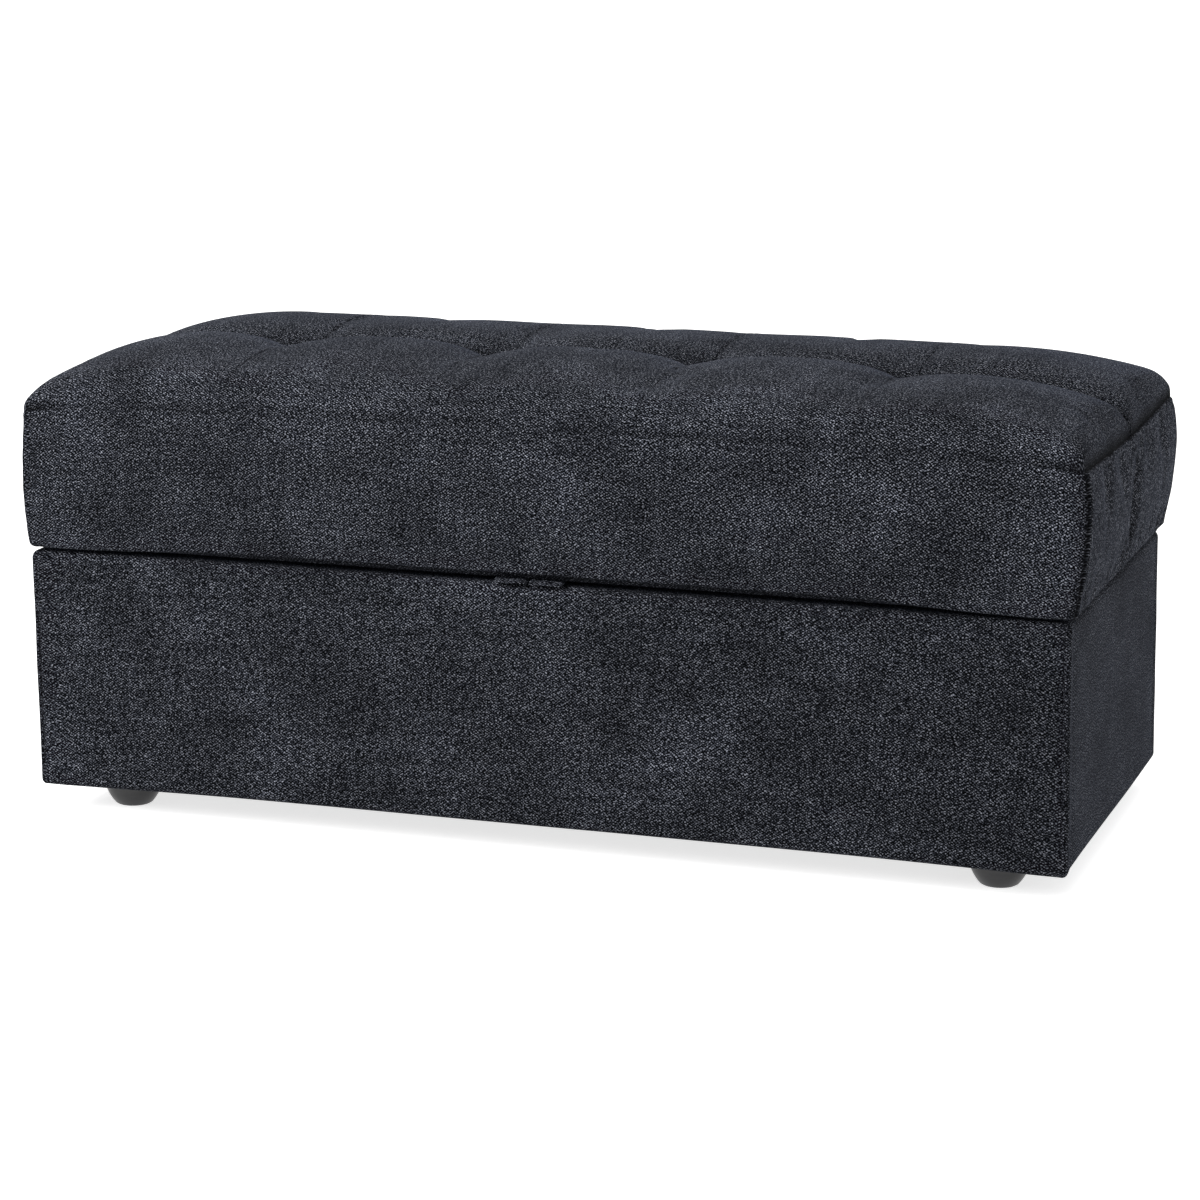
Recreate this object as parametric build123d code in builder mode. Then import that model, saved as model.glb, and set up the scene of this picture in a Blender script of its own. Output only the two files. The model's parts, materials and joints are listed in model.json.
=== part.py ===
"""Upholstered storage bench: a fabric-covered box on four glide feet, with a tufted, padded lid.

Axes: +X along the bench, front towards -Y, +Z up. The origin is on the floor under the middle.
"""

import os
from math import atan2, cos, degrees, hypot, radians, sin

from build123d import *

os.makedirs("parts", exist_ok=True)

# ---- driving dimensions, in millimetres -------------------------------------------------------
# Box
BODY_LENGTH = 1046.0
BODY_DEPTH = 462.0
FOOT_HEIGHT = 32.0
RIM_TOP = 270.0            # top of the fabric on the box's rim
RIM_RADIUS = 13.0          # the padded outer edge of the rim
BODY_CORNER_RADIUS = 10.0
COVER = 1.5                # upholstery fabric
WADDING = 4.5              # fibre wadding between fabric and board
PANEL = 12.0
BATTEN = 30.0              # square posts, and the width of every rail
TOP_RAIL_HEIGHT = 40.0
BASE_PANEL = 12.0
LINING = 1.0
RIM_TURN_IN = 30.0         # how far the fabric turns down inside the rim

# Lid
LID_GAP = 6.0              # between rim and lid, filled by hinges and bumpers
LID_LENGTH = 1047.0        # at the lower edge
LID_DEPTH = 468.0          # at the lower edge
SEAM_LENGTH = 1064.0       # at the seam between bands and top
SEAM_DEPTH = 458.0
BAND_BULGE_DEPTH = 476.0
BAND_BULGE_LENGTH = 1064.0
SEAM_HEIGHT = 415.0
CREST_HEIGHT = 482.0
LOBE_RADIUS = 152.0        # across the lid, the top is two round lobes
LOBE_OFFSET = 105.0        # from the middle line to the top of each lobe
SHOULDER_RADIUS = 110.0    # at each end, the top rounds over to the seam
SHOULDER_LENGTH = 102.0
SHOULDER_RISE = 2.0        # keeps the shoulder's level just above the lobes
LID_EDGE_RADIUS = 6.0
LID_BOARD = 16.0
FOAM_BASE_HEIGHT = 80.0
LID_TURN_UNDER = 29.0
TUFT_SPACING = 211.0
TUFT_HEIGHT = 430.0
TUFT_TIP_RADIUS = 3.0      # each tuft is a cone-shaped dimple that opens past the crests
TUFT_MOUTH_RADIUS = 43.0
TWINE_RADIUS = 1.2

# Hinges
HINGE_AXIS_Y = 234.5
KNUCKLE_RADIUS = 3.5
HINGE_PIN_RADIUS = 1.5
HINGE_LENGTH = 100.0
HINGE_KNUCKLES = 5
HINGE_LEAF = 1.8
HINGE_LEAF_WIDTH = 44.5
HINGE_SPACING = 660.0
KNUCKLE_GAP = 0.3
RUNNING_GAP = 0.05

# Lid stays: with the hinge axis, the three pivots of each stay make a parallelogram
STAY_BASE_PIVOT = (84.5, 241.0)       # Y, Z
STAY_LID_PIVOT_DROP = 10.0            # below the hinge axis
ARM_WIDTH = 13.0
ARM_THICKNESS = 2.0
ARM_GAP = 1.0
STAY_RIVET_RADIUS = 3.0
RIVET_HEAD_RADIUS = 5.0
ELBOW_CLEARANCE = 0.4
STOP_PIN_RADIUS = 2.0
BRACKET_LENGTH = 44.0

# Feet and fasteners
FOOT_RADIUS = 30.0
FOOT_TREAD_RADIUS = 19.0
FOOT_INSET_X = 73.0
FOOT_INSET_Y = 62.0
BORE_GAP = 0.1
BUMPER_RADIUS = 8.0
TAB_WIDTH = 32.0
TAB_GAP = 4.0
TAB_THICKNESS = 2.0
TAB_BEND = 8.0                    # how far behind the front edge the tabs start to droop
TAB_DROOP = 3.0

# ---- derived levels and planes ------------------------------------------------------------------
HALF_X, HALF_Y = BODY_LENGTH / 2, BODY_DEPTH / 2
PANEL_X, PANEL_Y = HALF_X - COVER - WADDING, HALF_Y - COVER - WADDING
FRAME_X, FRAME_Y = PANEL_X - PANEL, PANEL_Y - PANEL
INNER_X, INNER_Y = FRAME_X - BATTEN, FRAME_Y - BATTEN
WOOD_BOTTOM = FOOT_HEIGHT + COVER
WOOD_TOP = RIM_TOP - COVER - WADDING
FLOOR_TOP = WOOD_BOTTOM + BASE_PANEL
POST_X, POST_Y = FRAME_X - BATTEN / 2, FRAME_Y - BATTEN / 2
LID_BOTTOM = RIM_TOP + LID_GAP
BOARD_BOTTOM = LID_BOTTOM + COVER
BOARD_TOP = BOARD_BOTTOM + LID_BOARD
BOARD_X, BOARD_Y = LID_LENGTH / 2 - LID_EDGE_RADIUS, LID_DEPTH / 2 - LID_EDGE_RADIUS
HINGE_AXIS_Z = RIM_TOP + LID_GAP / 2
TUFTS = [(i - 1.5) * TUFT_SPACING for i in range(4)]
FOOT_X, FOOT_Y = HALF_X - FOOT_INSET_X, HALF_Y - FOOT_INSET_Y
STAY_REACH = hypot(HINGE_AXIS_Y - STAY_BASE_PIVOT[0], HINGE_AXIS_Z - STAY_BASE_PIVOT[1])
STAY_LID_PIVOT = (
    HINGE_AXIS_Y - (STAY_REACH**2 - STAY_LID_PIVOT_DROP**2) ** 0.5,
    HINGE_AXIS_Z - STAY_LID_PIVOT_DROP,
)
ELBOW = (
    STAY_BASE_PIVOT[0] + STAY_LID_PIVOT[0] - HINGE_AXIS_Y,
    STAY_BASE_PIVOT[1] + STAY_LID_PIVOT[1] - HINGE_AXIS_Z,
)
SIDES = {"left": -1, "right": 1}
ENDS = {"front": -1, "back": 1}


def save(part, name):
    """Label a finished piece and write it as its own STEP file."""
    part.label = name
    export_step(part, f"parts/{name}.step")
    return part


def slab(x_range, y_range, z_range):
    """A rectangular piece between the given limits."""
    with BuildPart() as block:
        with BuildSketch(Plane.XY.offset(z_range[0])):
            with Locations((sum(x_range) / 2, sum(y_range) / 2)):
                Rectangle(x_range[1] - x_range[0], y_range[1] - y_range[0])
        extrude(amount=z_range[1] - z_range[0])
    return block.part


def screw(length, shank, head, gap=0.0):
    """A countersunk screw with its head's face at the origin, pointing along -Z."""
    with BuildPart() as fastener:
        with BuildSketch(Plane.XZ):
            with BuildLine():
                Polyline(
                    (0, 0), (head + gap, 0), (shank + gap, -(head - shank)),
                    (shank + gap, -length + shank), (0, -length), (0, 0),
                )
            make_face()
        revolve(axis=Axis.Z)
    return fastener.part


def placed(piece, places):
    """One group of equal pieces, each put on its own plane."""
    with BuildPart() as group:
        for plane in places:
            add(plane.location * piece)
    return group.part


# ---- fasteners, and the bores that hold them -------------------------------------------------------
frame_screw_places = [
    Plane(origin=(side * POST_X, end * PANEL_Y, z), z_dir=(0, end, 0))
    for side in SIDES.values() for end in ENDS.values() for z in (80, 220)
] + [
    Plane(origin=(side * PANEL_X, end * POST_Y, z), z_dir=(side, 0, 0))
    for side in SIDES.values() for end in ENDS.values() for z in (110, 190)
]
FOOT_SCREW_LEVEL = 20.0
foot_places = [
    Plane(origin=(side * FOOT_X, end * FOOT_Y, 0), z_dir=(0, 0, -1))
    for side in SIDES.values() for end in ENDS.values()
]
foot_screw_places = [plane.offset(-FOOT_SCREW_LEVEL) for plane in foot_places]
hinge_centres = {name: side * HINGE_SPACING / 2 for name, side in SIDES.items()}
HINGE_SCREW_Y = HINGE_AXIS_Y - 34.5
hinge_screw_x = [x + dx for x in hinge_centres.values() for dx in (-36, 0, 36)]
STAY_WALL_X = INNER_X - COVER
stay_wall_screw_places = [
    Plane(
        origin=(side * (STAY_WALL_X - ARM_THICKNESS), STAY_BASE_PIVOT[0] + dy, STAY_BASE_PIVOT[1]),
        z_dir=(-side, 0, 0),
    )
    for side in SIDES.values() for dy in (-15, 15)
]
LOWER_ARM_X = STAY_WALL_X - 2 * ARM_THICKNESS - ARM_GAP
UPPER_ARM_X = LOWER_ARM_X - ARM_THICKNESS - ARM_GAP
EAR_X = UPPER_ARM_X - ARM_THICKNESS - ARM_GAP
stay_lid_screw_places = [
    Plane(
        origin=(side * (EAR_X - 13), STAY_LID_PIVOT[0] + dy, LID_BOTTOM - ARM_THICKNESS),
        z_dir=(0, 0, -1),
    )
    for side in SIDES.values() for dy in (-14, 14)
]
base_hardware_places = [
    Plane(origin=(x, HINGE_SCREW_Y, RIM_TOP + HINGE_LEAF), z_dir=(0, 0, 1)) for x in hinge_screw_x
] + stay_wall_screw_places
lid_hardware_places = [
    Plane(origin=(x, HINGE_SCREW_Y, LID_BOTTOM - HINGE_LEAF), z_dir=(0, 0, -1))
    for x in hinge_screw_x
] + stay_lid_screw_places

FRAME_SCREW = dict(length=34, shank=2.0, head=4.0)
FOOT_SCREW = dict(length=24, shank=2.4, head=5.0)
BASE_HARDWARE_SCREW = dict(length=22, shank=1.6, head=3.2)
LID_HARDWARE_SCREW = dict(length=15, shank=1.6, head=3.2)
save(placed(screw(**FRAME_SCREW), frame_screw_places), "frame_screws")
save(placed(screw(**FOOT_SCREW), foot_screw_places), "foot_screws")
save(placed(screw(**BASE_HARDWARE_SCREW), base_hardware_places), "base_hardware_screws")
save(placed(screw(**LID_HARDWARE_SCREW), lid_hardware_places), "lid_hardware_screws")
frame_bores = placed(screw(**FRAME_SCREW, gap=BORE_GAP), frame_screw_places)
foot_bores = placed(screw(**FOOT_SCREW, gap=BORE_GAP), foot_screw_places)
base_hardware_bores = placed(screw(**BASE_HARDWARE_SCREW, gap=BORE_GAP), base_hardware_places)
lid_hardware_bores = placed(screw(**LID_HARDWARE_SCREW, gap=BORE_GAP), lid_hardware_places)


# ---- wooden frame of the box -------------------------------------------------------------------------
for name, end in ENDS.items():
    y_limits = sorted((end * FRAME_Y, end * PANEL_Y))
    with BuildPart() as long_panel:
        add(slab((-PANEL_X, PANEL_X), y_limits, (WOOD_BOTTOM, WOOD_TOP)))
        outer_edges = long_panel.faces().sort_by(Axis.Y)[0 if end < 0 else -1].edges()
        fillet(outer_edges.filter_by(Axis.Z), BODY_CORNER_RADIUS - COVER - WADDING)
        rim_edge = long_panel.faces().sort_by(Axis.Y)[0 if end < 0 else -1].edges()
        fillet(rim_edge.filter_by(Axis.X).sort_by(Axis.Z)[-1], RIM_RADIUS - COVER - WADDING)
        add(frame_bores, mode=Mode.SUBTRACT)
    save(long_panel.part, f"{name}_panel")

    rail_limits = sorted((end * INNER_Y, end * FRAME_Y))
    with BuildPart() as top_rail:
        add(slab((-INNER_X, INNER_X), rail_limits, (WOOD_TOP - TOP_RAIL_HEIGHT, WOOD_TOP)))
        add(base_hardware_bores, mode=Mode.SUBTRACT)
    save(top_rail.part, f"{name}_top_rail")
    with BuildPart() as bottom_rail:
        add(slab((-INNER_X, INNER_X), rail_limits, (FLOOR_TOP, FLOOR_TOP + BATTEN)))
    save(bottom_rail.part, f"{name}_bottom_rail")

for name, side in SIDES.items():
    x_limits = sorted((side * FRAME_X, side * PANEL_X))
    with BuildPart() as end_panel:
        add(slab(x_limits, (-FRAME_Y, FRAME_Y), (WOOD_BOTTOM, WOOD_TOP)))
        outer_face = end_panel.faces().sort_by(Axis.X)[0 if side < 0 else -1]
        top_edge = outer_face.edges().filter_by(Axis.Y).sort_by(Axis.Z)[-1]
        fillet(top_edge, RIM_RADIUS - COVER - WADDING)
        add(frame_bores, mode=Mode.SUBTRACT)
    save(end_panel.part, f"{name}_end_panel")

    rail_limits = sorted((side * INNER_X, side * FRAME_X))
    with BuildPart() as end_rail:
        add(slab(rail_limits, (-INNER_Y, INNER_Y), (WOOD_TOP - TOP_RAIL_HEIGHT, WOOD_TOP)))
        add(base_hardware_bores, mode=Mode.SUBTRACT)
    save(end_rail.part, f"{name}_end_rail")

    for end_name, end in ENDS.items():
        with BuildPart() as post:
            add(slab(
                rail_limits,
                sorted((end * INNER_Y, end * FRAME_Y)),
                (FLOOR_TOP, WOOD_TOP),
            ))
            add(frame_bores, mode=Mode.SUBTRACT)
        save(post.part, f"corner_post_{end_name}_{name}")

with BuildPart() as base_panel:
    add(slab((-FRAME_X, FRAME_X), (-FRAME_Y, FRAME_Y), (WOOD_BOTTOM, FLOOR_TOP)))
    add(foot_bores, mode=Mode.SUBTRACT)
save(base_panel.part, "base_panel")


# ---- soft layers of the box ------------------------------------------------------------------------
def wall_ring(inset, opening_inset):
    """The box's wall as a ring, with its rim rounded, drawn in from the fabric's faces."""
    with BuildPart() as ring:
        with BuildSketch(Plane.XY.offset(FOOT_HEIGHT + min(inset, COVER))):
            RectangleRounded(
                2 * (HALF_X - inset), 2 * (HALF_Y - inset), BODY_CORNER_RADIUS - inset
            )
        extrude(amount=RIM_TOP - inset - FOOT_HEIGHT - min(inset, COVER))
        fillet(ring.faces().sort_by(Axis.Z)[-1].edges(), RIM_RADIUS - inset)
        with BuildSketch(Plane.XY.offset(FOOT_HEIGHT)):
            Rectangle(2 * (INNER_X - opening_inset), 2 * (INNER_Y - opening_inset))
        extrude(amount=RIM_TOP - FOOT_HEIGHT, mode=Mode.SUBTRACT)
    return ring.part


under_cover = wall_ring(COVER, 0)
with BuildPart() as body_cover:
    add(wall_ring(0, COVER))
    add(under_cover, mode=Mode.SUBTRACT)
    with BuildSketch(Plane.XY.offset(FOOT_HEIGHT)):
        Rectangle(2 * INNER_X, 2 * INNER_Y)
    extrude(amount=RIM_TOP - RIM_TURN_IN - FOOT_HEIGHT, mode=Mode.SUBTRACT)
    add(base_hardware_bores, mode=Mode.SUBTRACT)
    add(foot_bores, mode=Mode.SUBTRACT)
save(body_cover.part, "body_cover")

with BuildPart() as body_wadding:
    add(under_cover)
    add(wall_ring(COVER + WADDING, 0), mode=Mode.SUBTRACT)
    add(base_hardware_bores, mode=Mode.SUBTRACT)
save(body_wadding.part, "body_wadding")

with BuildPart() as box_lining:
    with BuildSketch(Plane.XY.offset(FLOOR_TOP + LINING)):
        Rectangle(2 * INNER_X, 2 * INNER_Y)
        Rectangle(2 * (INNER_X - LINING), 2 * (INNER_Y - LINING), mode=Mode.SUBTRACT)
    extrude(amount=RIM_TOP - RIM_TURN_IN - FLOOR_TOP - LINING)
    add(base_hardware_bores, mode=Mode.SUBTRACT)
save(box_lining.part, "box_lining")

with BuildPart() as floor_lining:
    add(slab((-INNER_X, INNER_X), (-INNER_Y, INNER_Y), (FLOOR_TOP, FLOOR_TOP + LINING)))
save(floor_lining.part, "floor_lining")

with BuildPart() as dust_cover:
    add(slab((-INNER_X, INNER_X), (-INNER_Y, INNER_Y), (FOOT_HEIGHT, WOOD_BOTTOM)))
    add(foot_bores, mode=Mode.SUBTRACT)
save(dust_cover.part, "dust_cover")


# ---- feet and bumpers --------------------------------------------------------------------------------
with BuildPart() as foot:
    with BuildSketch(Plane.XZ):
        with BuildLine():
            Polyline((0, FOOT_SCREW_LEVEL), (8, FOOT_SCREW_LEVEL), (8, 1), (9, 0))
            Line((9, 0), (FOOT_TREAD_RADIUS - 2, 0))
            Line((FOOT_TREAD_RADIUS - 2, 0), (FOOT_TREAD_RADIUS, 1.2))
            ThreePointArc(
                (FOOT_TREAD_RADIUS, 1.2), (FOOT_RADIUS - 3.5, 13), (FOOT_RADIUS, FOOT_HEIGHT - 6)
            )
            Polyline(
                (FOOT_RADIUS, FOOT_HEIGHT - 6), (FOOT_RADIUS, FOOT_HEIGHT), (0, FOOT_HEIGHT),
                (0, FOOT_SCREW_LEVEL),
            )
        make_face()
    revolve(axis=Axis.Z)
    add(Plane.XY.rotated((180, 0, 0)).offset(-FOOT_SCREW_LEVEL).location
        * screw(**FOOT_SCREW, gap=BORE_GAP), mode=Mode.SUBTRACT)

for side_name, side in SIDES.items():
    for end_name, end in ENDS.items():
        foot_here = Location((side * FOOT_X, end * FOOT_Y, 0)) * foot.part
        save(foot_here, f"foot_{end_name}_{side_name}")

with BuildPart() as lid_bumpers:
    with BuildSketch(Plane.XY.offset(RIM_TOP)):
        with Locations([(side * POST_X, y) for side in SIDES.values() for y in (-200, 140)]):
            Circle(BUMPER_RADIUS)
    extrude(amount=LID_GAP - 0.3, taper=8)
save(lid_bumpers.part, "lid_bumpers")


# ---- lid ---------------------------------------------------------------------------------------------
def arc_drop(radius, distance):
    """How far an arc lies below its highest point at a level distance from it."""
    return radius - (radius**2 - distance**2) ** 0.5


def lid_prism(plane, inset, half_bottom, half_bulge, top_points):
    """A long prism of the lid's outline; top_points run from the seam to the middle line."""
    low = half_bottom - inset
    radius = max(LID_EDGE_RADIUS - inset, 0.5)
    bottom = LID_BOTTOM + inset
    seam, on_arc, arc_end, middle = top_points
    with BuildPart() as prism:
        with BuildSketch(plane):
            with BuildLine() as line:
                Line((0, bottom), (low - radius, bottom))
                RadiusArc((low - radius, bottom), (low, bottom + radius), -radius)
                bulge = (half_bulge - inset, (SEAM_HEIGHT + LID_BOTTOM) / 2)
                ThreePointArc((low, bottom + radius), bulge, seam)
                ThreePointArc(seam, on_arc, arc_end)
                if middle != arc_end:
                    Line(arc_end, middle)
                mirror(line.line, about=Plane.YZ)
            make_face()
        extrude(amount=BODY_LENGTH, both=True)
    return prism.part


def side_prism(inset):
    """The lid's front, back and two-lobed top, running past both ends."""
    level = CREST_HEIGHT - inset
    seam_y = SEAM_DEPTH / 2 - inset
    seam = (seam_y, level - arc_drop(LOBE_RADIUS, seam_y - LOBE_OFFSET))
    valley = (0, level - arc_drop(LOBE_RADIUS, LOBE_OFFSET))
    top_points = (seam, (LOBE_OFFSET, level), valley, valley)
    return lid_prism(Plane.YZ, inset, LID_DEPTH / 2, BAND_BULGE_DEPTH / 2, top_points)


def end_prism(inset):
    """The lid's two ends and their shoulders, running past front and back."""
    level = CREST_HEIGHT + SHOULDER_RISE - inset
    shoulder_x = SEAM_LENGTH / 2 - SHOULDER_LENGTH
    seam_x = SEAM_LENGTH / 2 - inset
    half_way = (seam_x - shoulder_x) / 2
    top_points = (
        (seam_x, level - arc_drop(SHOULDER_RADIUS, seam_x - shoulder_x)),
        (shoulder_x + half_way, level - arc_drop(SHOULDER_RADIUS, half_way)),
        (shoulder_x, level),
        (0, level),
    )
    return lid_prism(Plane.XZ, inset, LID_LENGTH / 2, BAND_BULGE_LENGTH / 2, top_points)


def lid_form(inset):
    """The padded lid as one solid, with its tufts, drawn in by the inset."""
    with BuildPart() as form:
        add(side_prism(inset))
        add(end_prism(inset), mode=Mode.INTERSECT)
        depth = CREST_HEIGHT + SHOULDER_RISE - TUFT_HEIGHT
        with Locations([(x, 0, TUFT_HEIGHT - inset + depth / 2) for x in TUFTS]):
            Cone(TUFT_TIP_RADIUS, TUFT_MOUTH_RADIUS, depth, mode=Mode.SUBTRACT)
    return form.part


FAR = BODY_LENGTH
lid_outside = lid_form(0)
under_lid_cover = lid_form(COVER)
foam_outside = lid_form(COVER + WADDING)
LINING_X, LINING_Y = LID_LENGTH / 2 - LID_TURN_UNDER, LID_DEPTH / 2 - LID_TURN_UNDER

with BuildPart() as twine_bores:
    with BuildSketch(Plane.XY.offset(LID_BOTTOM)):
        with Locations([(x, 0) for x in TUFTS]):
            Circle(TWINE_RADIUS + BORE_GAP)
    extrude(amount=CREST_HEIGHT - LID_BOTTOM)

with BuildPart() as above_seam:
    add(slab((-FAR, FAR), (-FAR, FAR), (SEAM_HEIGHT, FAR)))
    tuft_row = (TUFTS[0] - TUFT_MOUTH_RADIUS, TUFTS[-1] + TUFT_MOUTH_RADIUS)
    add(slab(tuft_row, (-TUFT_MOUTH_RADIUS, TUFT_MOUTH_RADIUS), (BOARD_TOP, FAR)))
with BuildPart() as lid_top_cover:
    add(lid_outside)
    add(under_lid_cover, mode=Mode.SUBTRACT)
    add(above_seam.part, mode=Mode.INTERSECT)
save(lid_top_cover.part, "lid_top_cover")

band_parts = {}
for name, end in ENDS.items():
    with BuildPart() as band:
        add(lid_outside)
        add(side_prism(COVER), mode=Mode.SUBTRACT)
        y_limits = sorted((end * LINING_Y, end * FAR))
        add(slab((-FAR, FAR), y_limits, (0, SEAM_HEIGHT)), mode=Mode.INTERSECT)
        add(lid_hardware_bores, mode=Mode.SUBTRACT)
    band_parts[name] = save(band.part, f"lid_{name}_band")
for name, side in SIDES.items():
    with BuildPart() as band:
        add(lid_outside)
        add(end_prism(COVER), mode=Mode.SUBTRACT)
        x_limits = sorted((side * LINING_X, side * FAR))
        add(slab(x_limits, (-FAR, FAR), (0, SEAM_HEIGHT)), mode=Mode.INTERSECT)
        add(band_parts["front"], mode=Mode.SUBTRACT)
        add(band_parts["back"], mode=Mode.SUBTRACT)
    save(band.part, f"lid_{name}_band")

board_block = slab((-BOARD_X, BOARD_X), (-BOARD_Y, BOARD_Y), (LID_BOTTOM, BOARD_TOP))
with BuildPart() as lid_wadding:
    add(under_lid_cover)
    add(foam_outside, mode=Mode.SUBTRACT)
    add(board_block, mode=Mode.SUBTRACT)
    add(twine_bores.part, mode=Mode.SUBTRACT)
save(lid_wadding.part, "lid_wadding")

FOAM_SPLIT = BOARD_TOP + FOAM_BASE_HEIGHT
for name, z_limits in {
    "seat_foam_base": (BOARD_TOP, FOAM_SPLIT),
    "seat_foam_topper": (FOAM_SPLIT, FAR),
}.items():
    with BuildPart() as foam:
        add(foam_outside)
        add(slab((-FAR, FAR), (-FAR, FAR), z_limits), mode=Mode.INTERSECT)
        add(twine_bores.part, mode=Mode.SUBTRACT)
    save(foam.part, name)

ANCHOR_RADIUS, ANCHOR_THICKNESS = 9.0, 2.0
with BuildPart() as lid_board:
    add(slab((-BOARD_X, BOARD_X), (-BOARD_Y, BOARD_Y), (BOARD_BOTTOM, BOARD_TOP)))
    add(twine_bores.part, mode=Mode.SUBTRACT)
    with BuildSketch(Plane.XY.offset(BOARD_BOTTOM)):
        with Locations([(x, 0) for x in TUFTS]):
            Circle(ANCHOR_RADIUS + BORE_GAP)
    extrude(amount=ANCHOR_THICKNESS, mode=Mode.SUBTRACT)
    add(lid_hardware_bores, mode=Mode.SUBTRACT)
save(lid_board.part, "lid_board")

with BuildPart() as lid_lining:
    add(slab((-LINING_X, LINING_X), (-LINING_Y, LINING_Y), (LID_BOTTOM, BOARD_BOTTOM)))
    add(lid_hardware_bores, mode=Mode.SUBTRACT)
save(lid_lining.part, "lid_lining")

with BuildPart() as tuft_anchors:
    with BuildSketch(Plane.XY.offset(BOARD_BOTTOM)):
        with Locations([(x, 0) for x in TUFTS]):
            Circle(ANCHOR_RADIUS)
    extrude(amount=ANCHOR_THICKNESS)
save(tuft_anchors.part, "tuft_anchors")

with BuildPart() as tuft_twines:
    with BuildSketch(Plane.XY.offset(BOARD_BOTTOM + ANCHOR_THICKNESS)):
        with Locations([(x, 0) for x in TUFTS]):
            Circle(TWINE_RADIUS)
    extrude(amount=TUFT_HEIGHT - COVER - BOARD_BOTTOM - ANCHOR_THICKNESS)
save(tuft_twines.part, "tuft_twines")

TAB_BACK, TAB_FRONT = -190.0, -LID_DEPTH / 2
with BuildPart() as pull_tabs:
    with BuildSketch(Plane.YZ):
        with BuildLine():
            Polyline(
                (TAB_BACK, LID_BOTTOM),
                (TAB_BACK, LID_BOTTOM - TAB_THICKNESS),
                (TAB_FRONT + TAB_BEND, LID_BOTTOM - TAB_THICKNESS),
                (TAB_FRONT + 1, LID_BOTTOM - TAB_THICKNESS - TAB_DROOP),
                (TAB_FRONT, LID_BOTTOM - TAB_DROOP),
                (TAB_FRONT + TAB_BEND - 1, LID_BOTTOM),
                (TAB_BACK, LID_BOTTOM),
            )
        make_face()
    extrude(amount=TAB_GAP / 2 + TAB_WIDTH, both=True)
    add(slab((-TAB_GAP / 2, TAB_GAP / 2), (-FAR, FAR), (0, FAR)), mode=Mode.SUBTRACT)
save(pull_tabs.part, "pull_tabs")


# ---- hinges ------------------------------------------------------------------------------------------
KNUCKLE_LENGTH = HINGE_LENGTH / HINGE_KNUCKLES
LEAF_BACK = HINGE_AXIS_Y - HINGE_LEAF_WIDTH


def hinge_leaf(centre, own_knuckles, z_low, bores):
    """One leaf: a plate, cut back where the other leaf's knuckles turn, and its own knuckles."""
    with BuildPart() as leaf:
        x_limits = (centre - HINGE_LENGTH / 2, centre + HINGE_LENGTH / 2)
        add(slab(x_limits, (LEAF_BACK, HINGE_AXIS_Y), (z_low, z_low + HINGE_LEAF)))
        for knuckle in range(HINGE_KNUCKLES):
            start = x_limits[0] + knuckle * KNUCKLE_LENGTH
            with BuildSketch(Plane.YZ.offset(start)):
                with Locations((HINGE_AXIS_Y, HINGE_AXIS_Z)):
                    Circle(KNUCKLE_RADIUS + (0 if knuckle in own_knuckles else KNUCKLE_GAP))
            mode = Mode.ADD if knuckle in own_knuckles else Mode.SUBTRACT
            extrude(amount=KNUCKLE_LENGTH, mode=mode)
        for joint in range(1, HINGE_KNUCKLES):
            edge = x_limits[0] + joint * KNUCKLE_LENGTH
            with BuildSketch(Plane.YZ.offset(edge)):
                with Locations((HINGE_AXIS_Y, HINGE_AXIS_Z)):
                    Circle(KNUCKLE_RADIUS + KNUCKLE_GAP)
            extrude(amount=KNUCKLE_GAP / 2, both=True, mode=Mode.SUBTRACT)
        with BuildSketch(Plane.YZ.offset(x_limits[0])):
            with Locations((HINGE_AXIS_Y, HINGE_AXIS_Z)):
                Circle(HINGE_PIN_RADIUS + RUNNING_GAP)
        extrude(amount=HINGE_LENGTH, mode=Mode.SUBTRACT)
        add(bores, mode=Mode.SUBTRACT)
    return leaf.part


for name, centre in hinge_centres.items():
    base_leaf = hinge_leaf(centre, (0, 2, 4), RIM_TOP, base_hardware_bores)
    save(base_leaf, f"hinge_{name}_base_leaf")
    lid_leaf = hinge_leaf(centre, (1, 3), LID_BOTTOM - HINGE_LEAF, lid_hardware_bores)
    save(lid_leaf, f"hinge_{name}_lid_leaf")
    with BuildPart() as hinge_pin:
        with BuildSketch(Plane.YZ.offset(centre - HINGE_LENGTH / 2)):
            with Locations((HINGE_AXIS_Y, HINGE_AXIS_Z)):
                Circle(HINGE_PIN_RADIUS)
        extrude(amount=HINGE_LENGTH)
    save(hinge_pin.part, f"hinge_{name}_pin")


# ---- lid stays ---------------------------------------------------------------------------------------
def across(side, x, reach):
    """A sketch plane in Y and Z at distance x from the middle, and how to extrude outwards."""
    return Plane.YZ.offset(side * x), side * reach


def link_plate(side, x, start, end, bore_radii):
    """A flat steel arm from start to end with a round bore at each."""
    plane, outwards = across(side, x, ARM_THICKNESS)
    middle = ((start[0] + end[0]) / 2, (start[1] + end[1]) / 2)
    angle = degrees(atan2(end[1] - start[1], end[0] - start[0]))
    length = hypot(end[0] - start[0], end[1] - start[1])
    with BuildPart() as arm:
        with BuildSketch(plane):
            with Locations(Location(middle, angle)):
                SlotCenterToCenter(length, ARM_WIDTH)
            for centre, radius in zip((start, end), bore_radii):
                with Locations(centre):
                    Circle(radius, mode=Mode.SUBTRACT)
        extrude(amount=outwards)
    return arm.part


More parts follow.
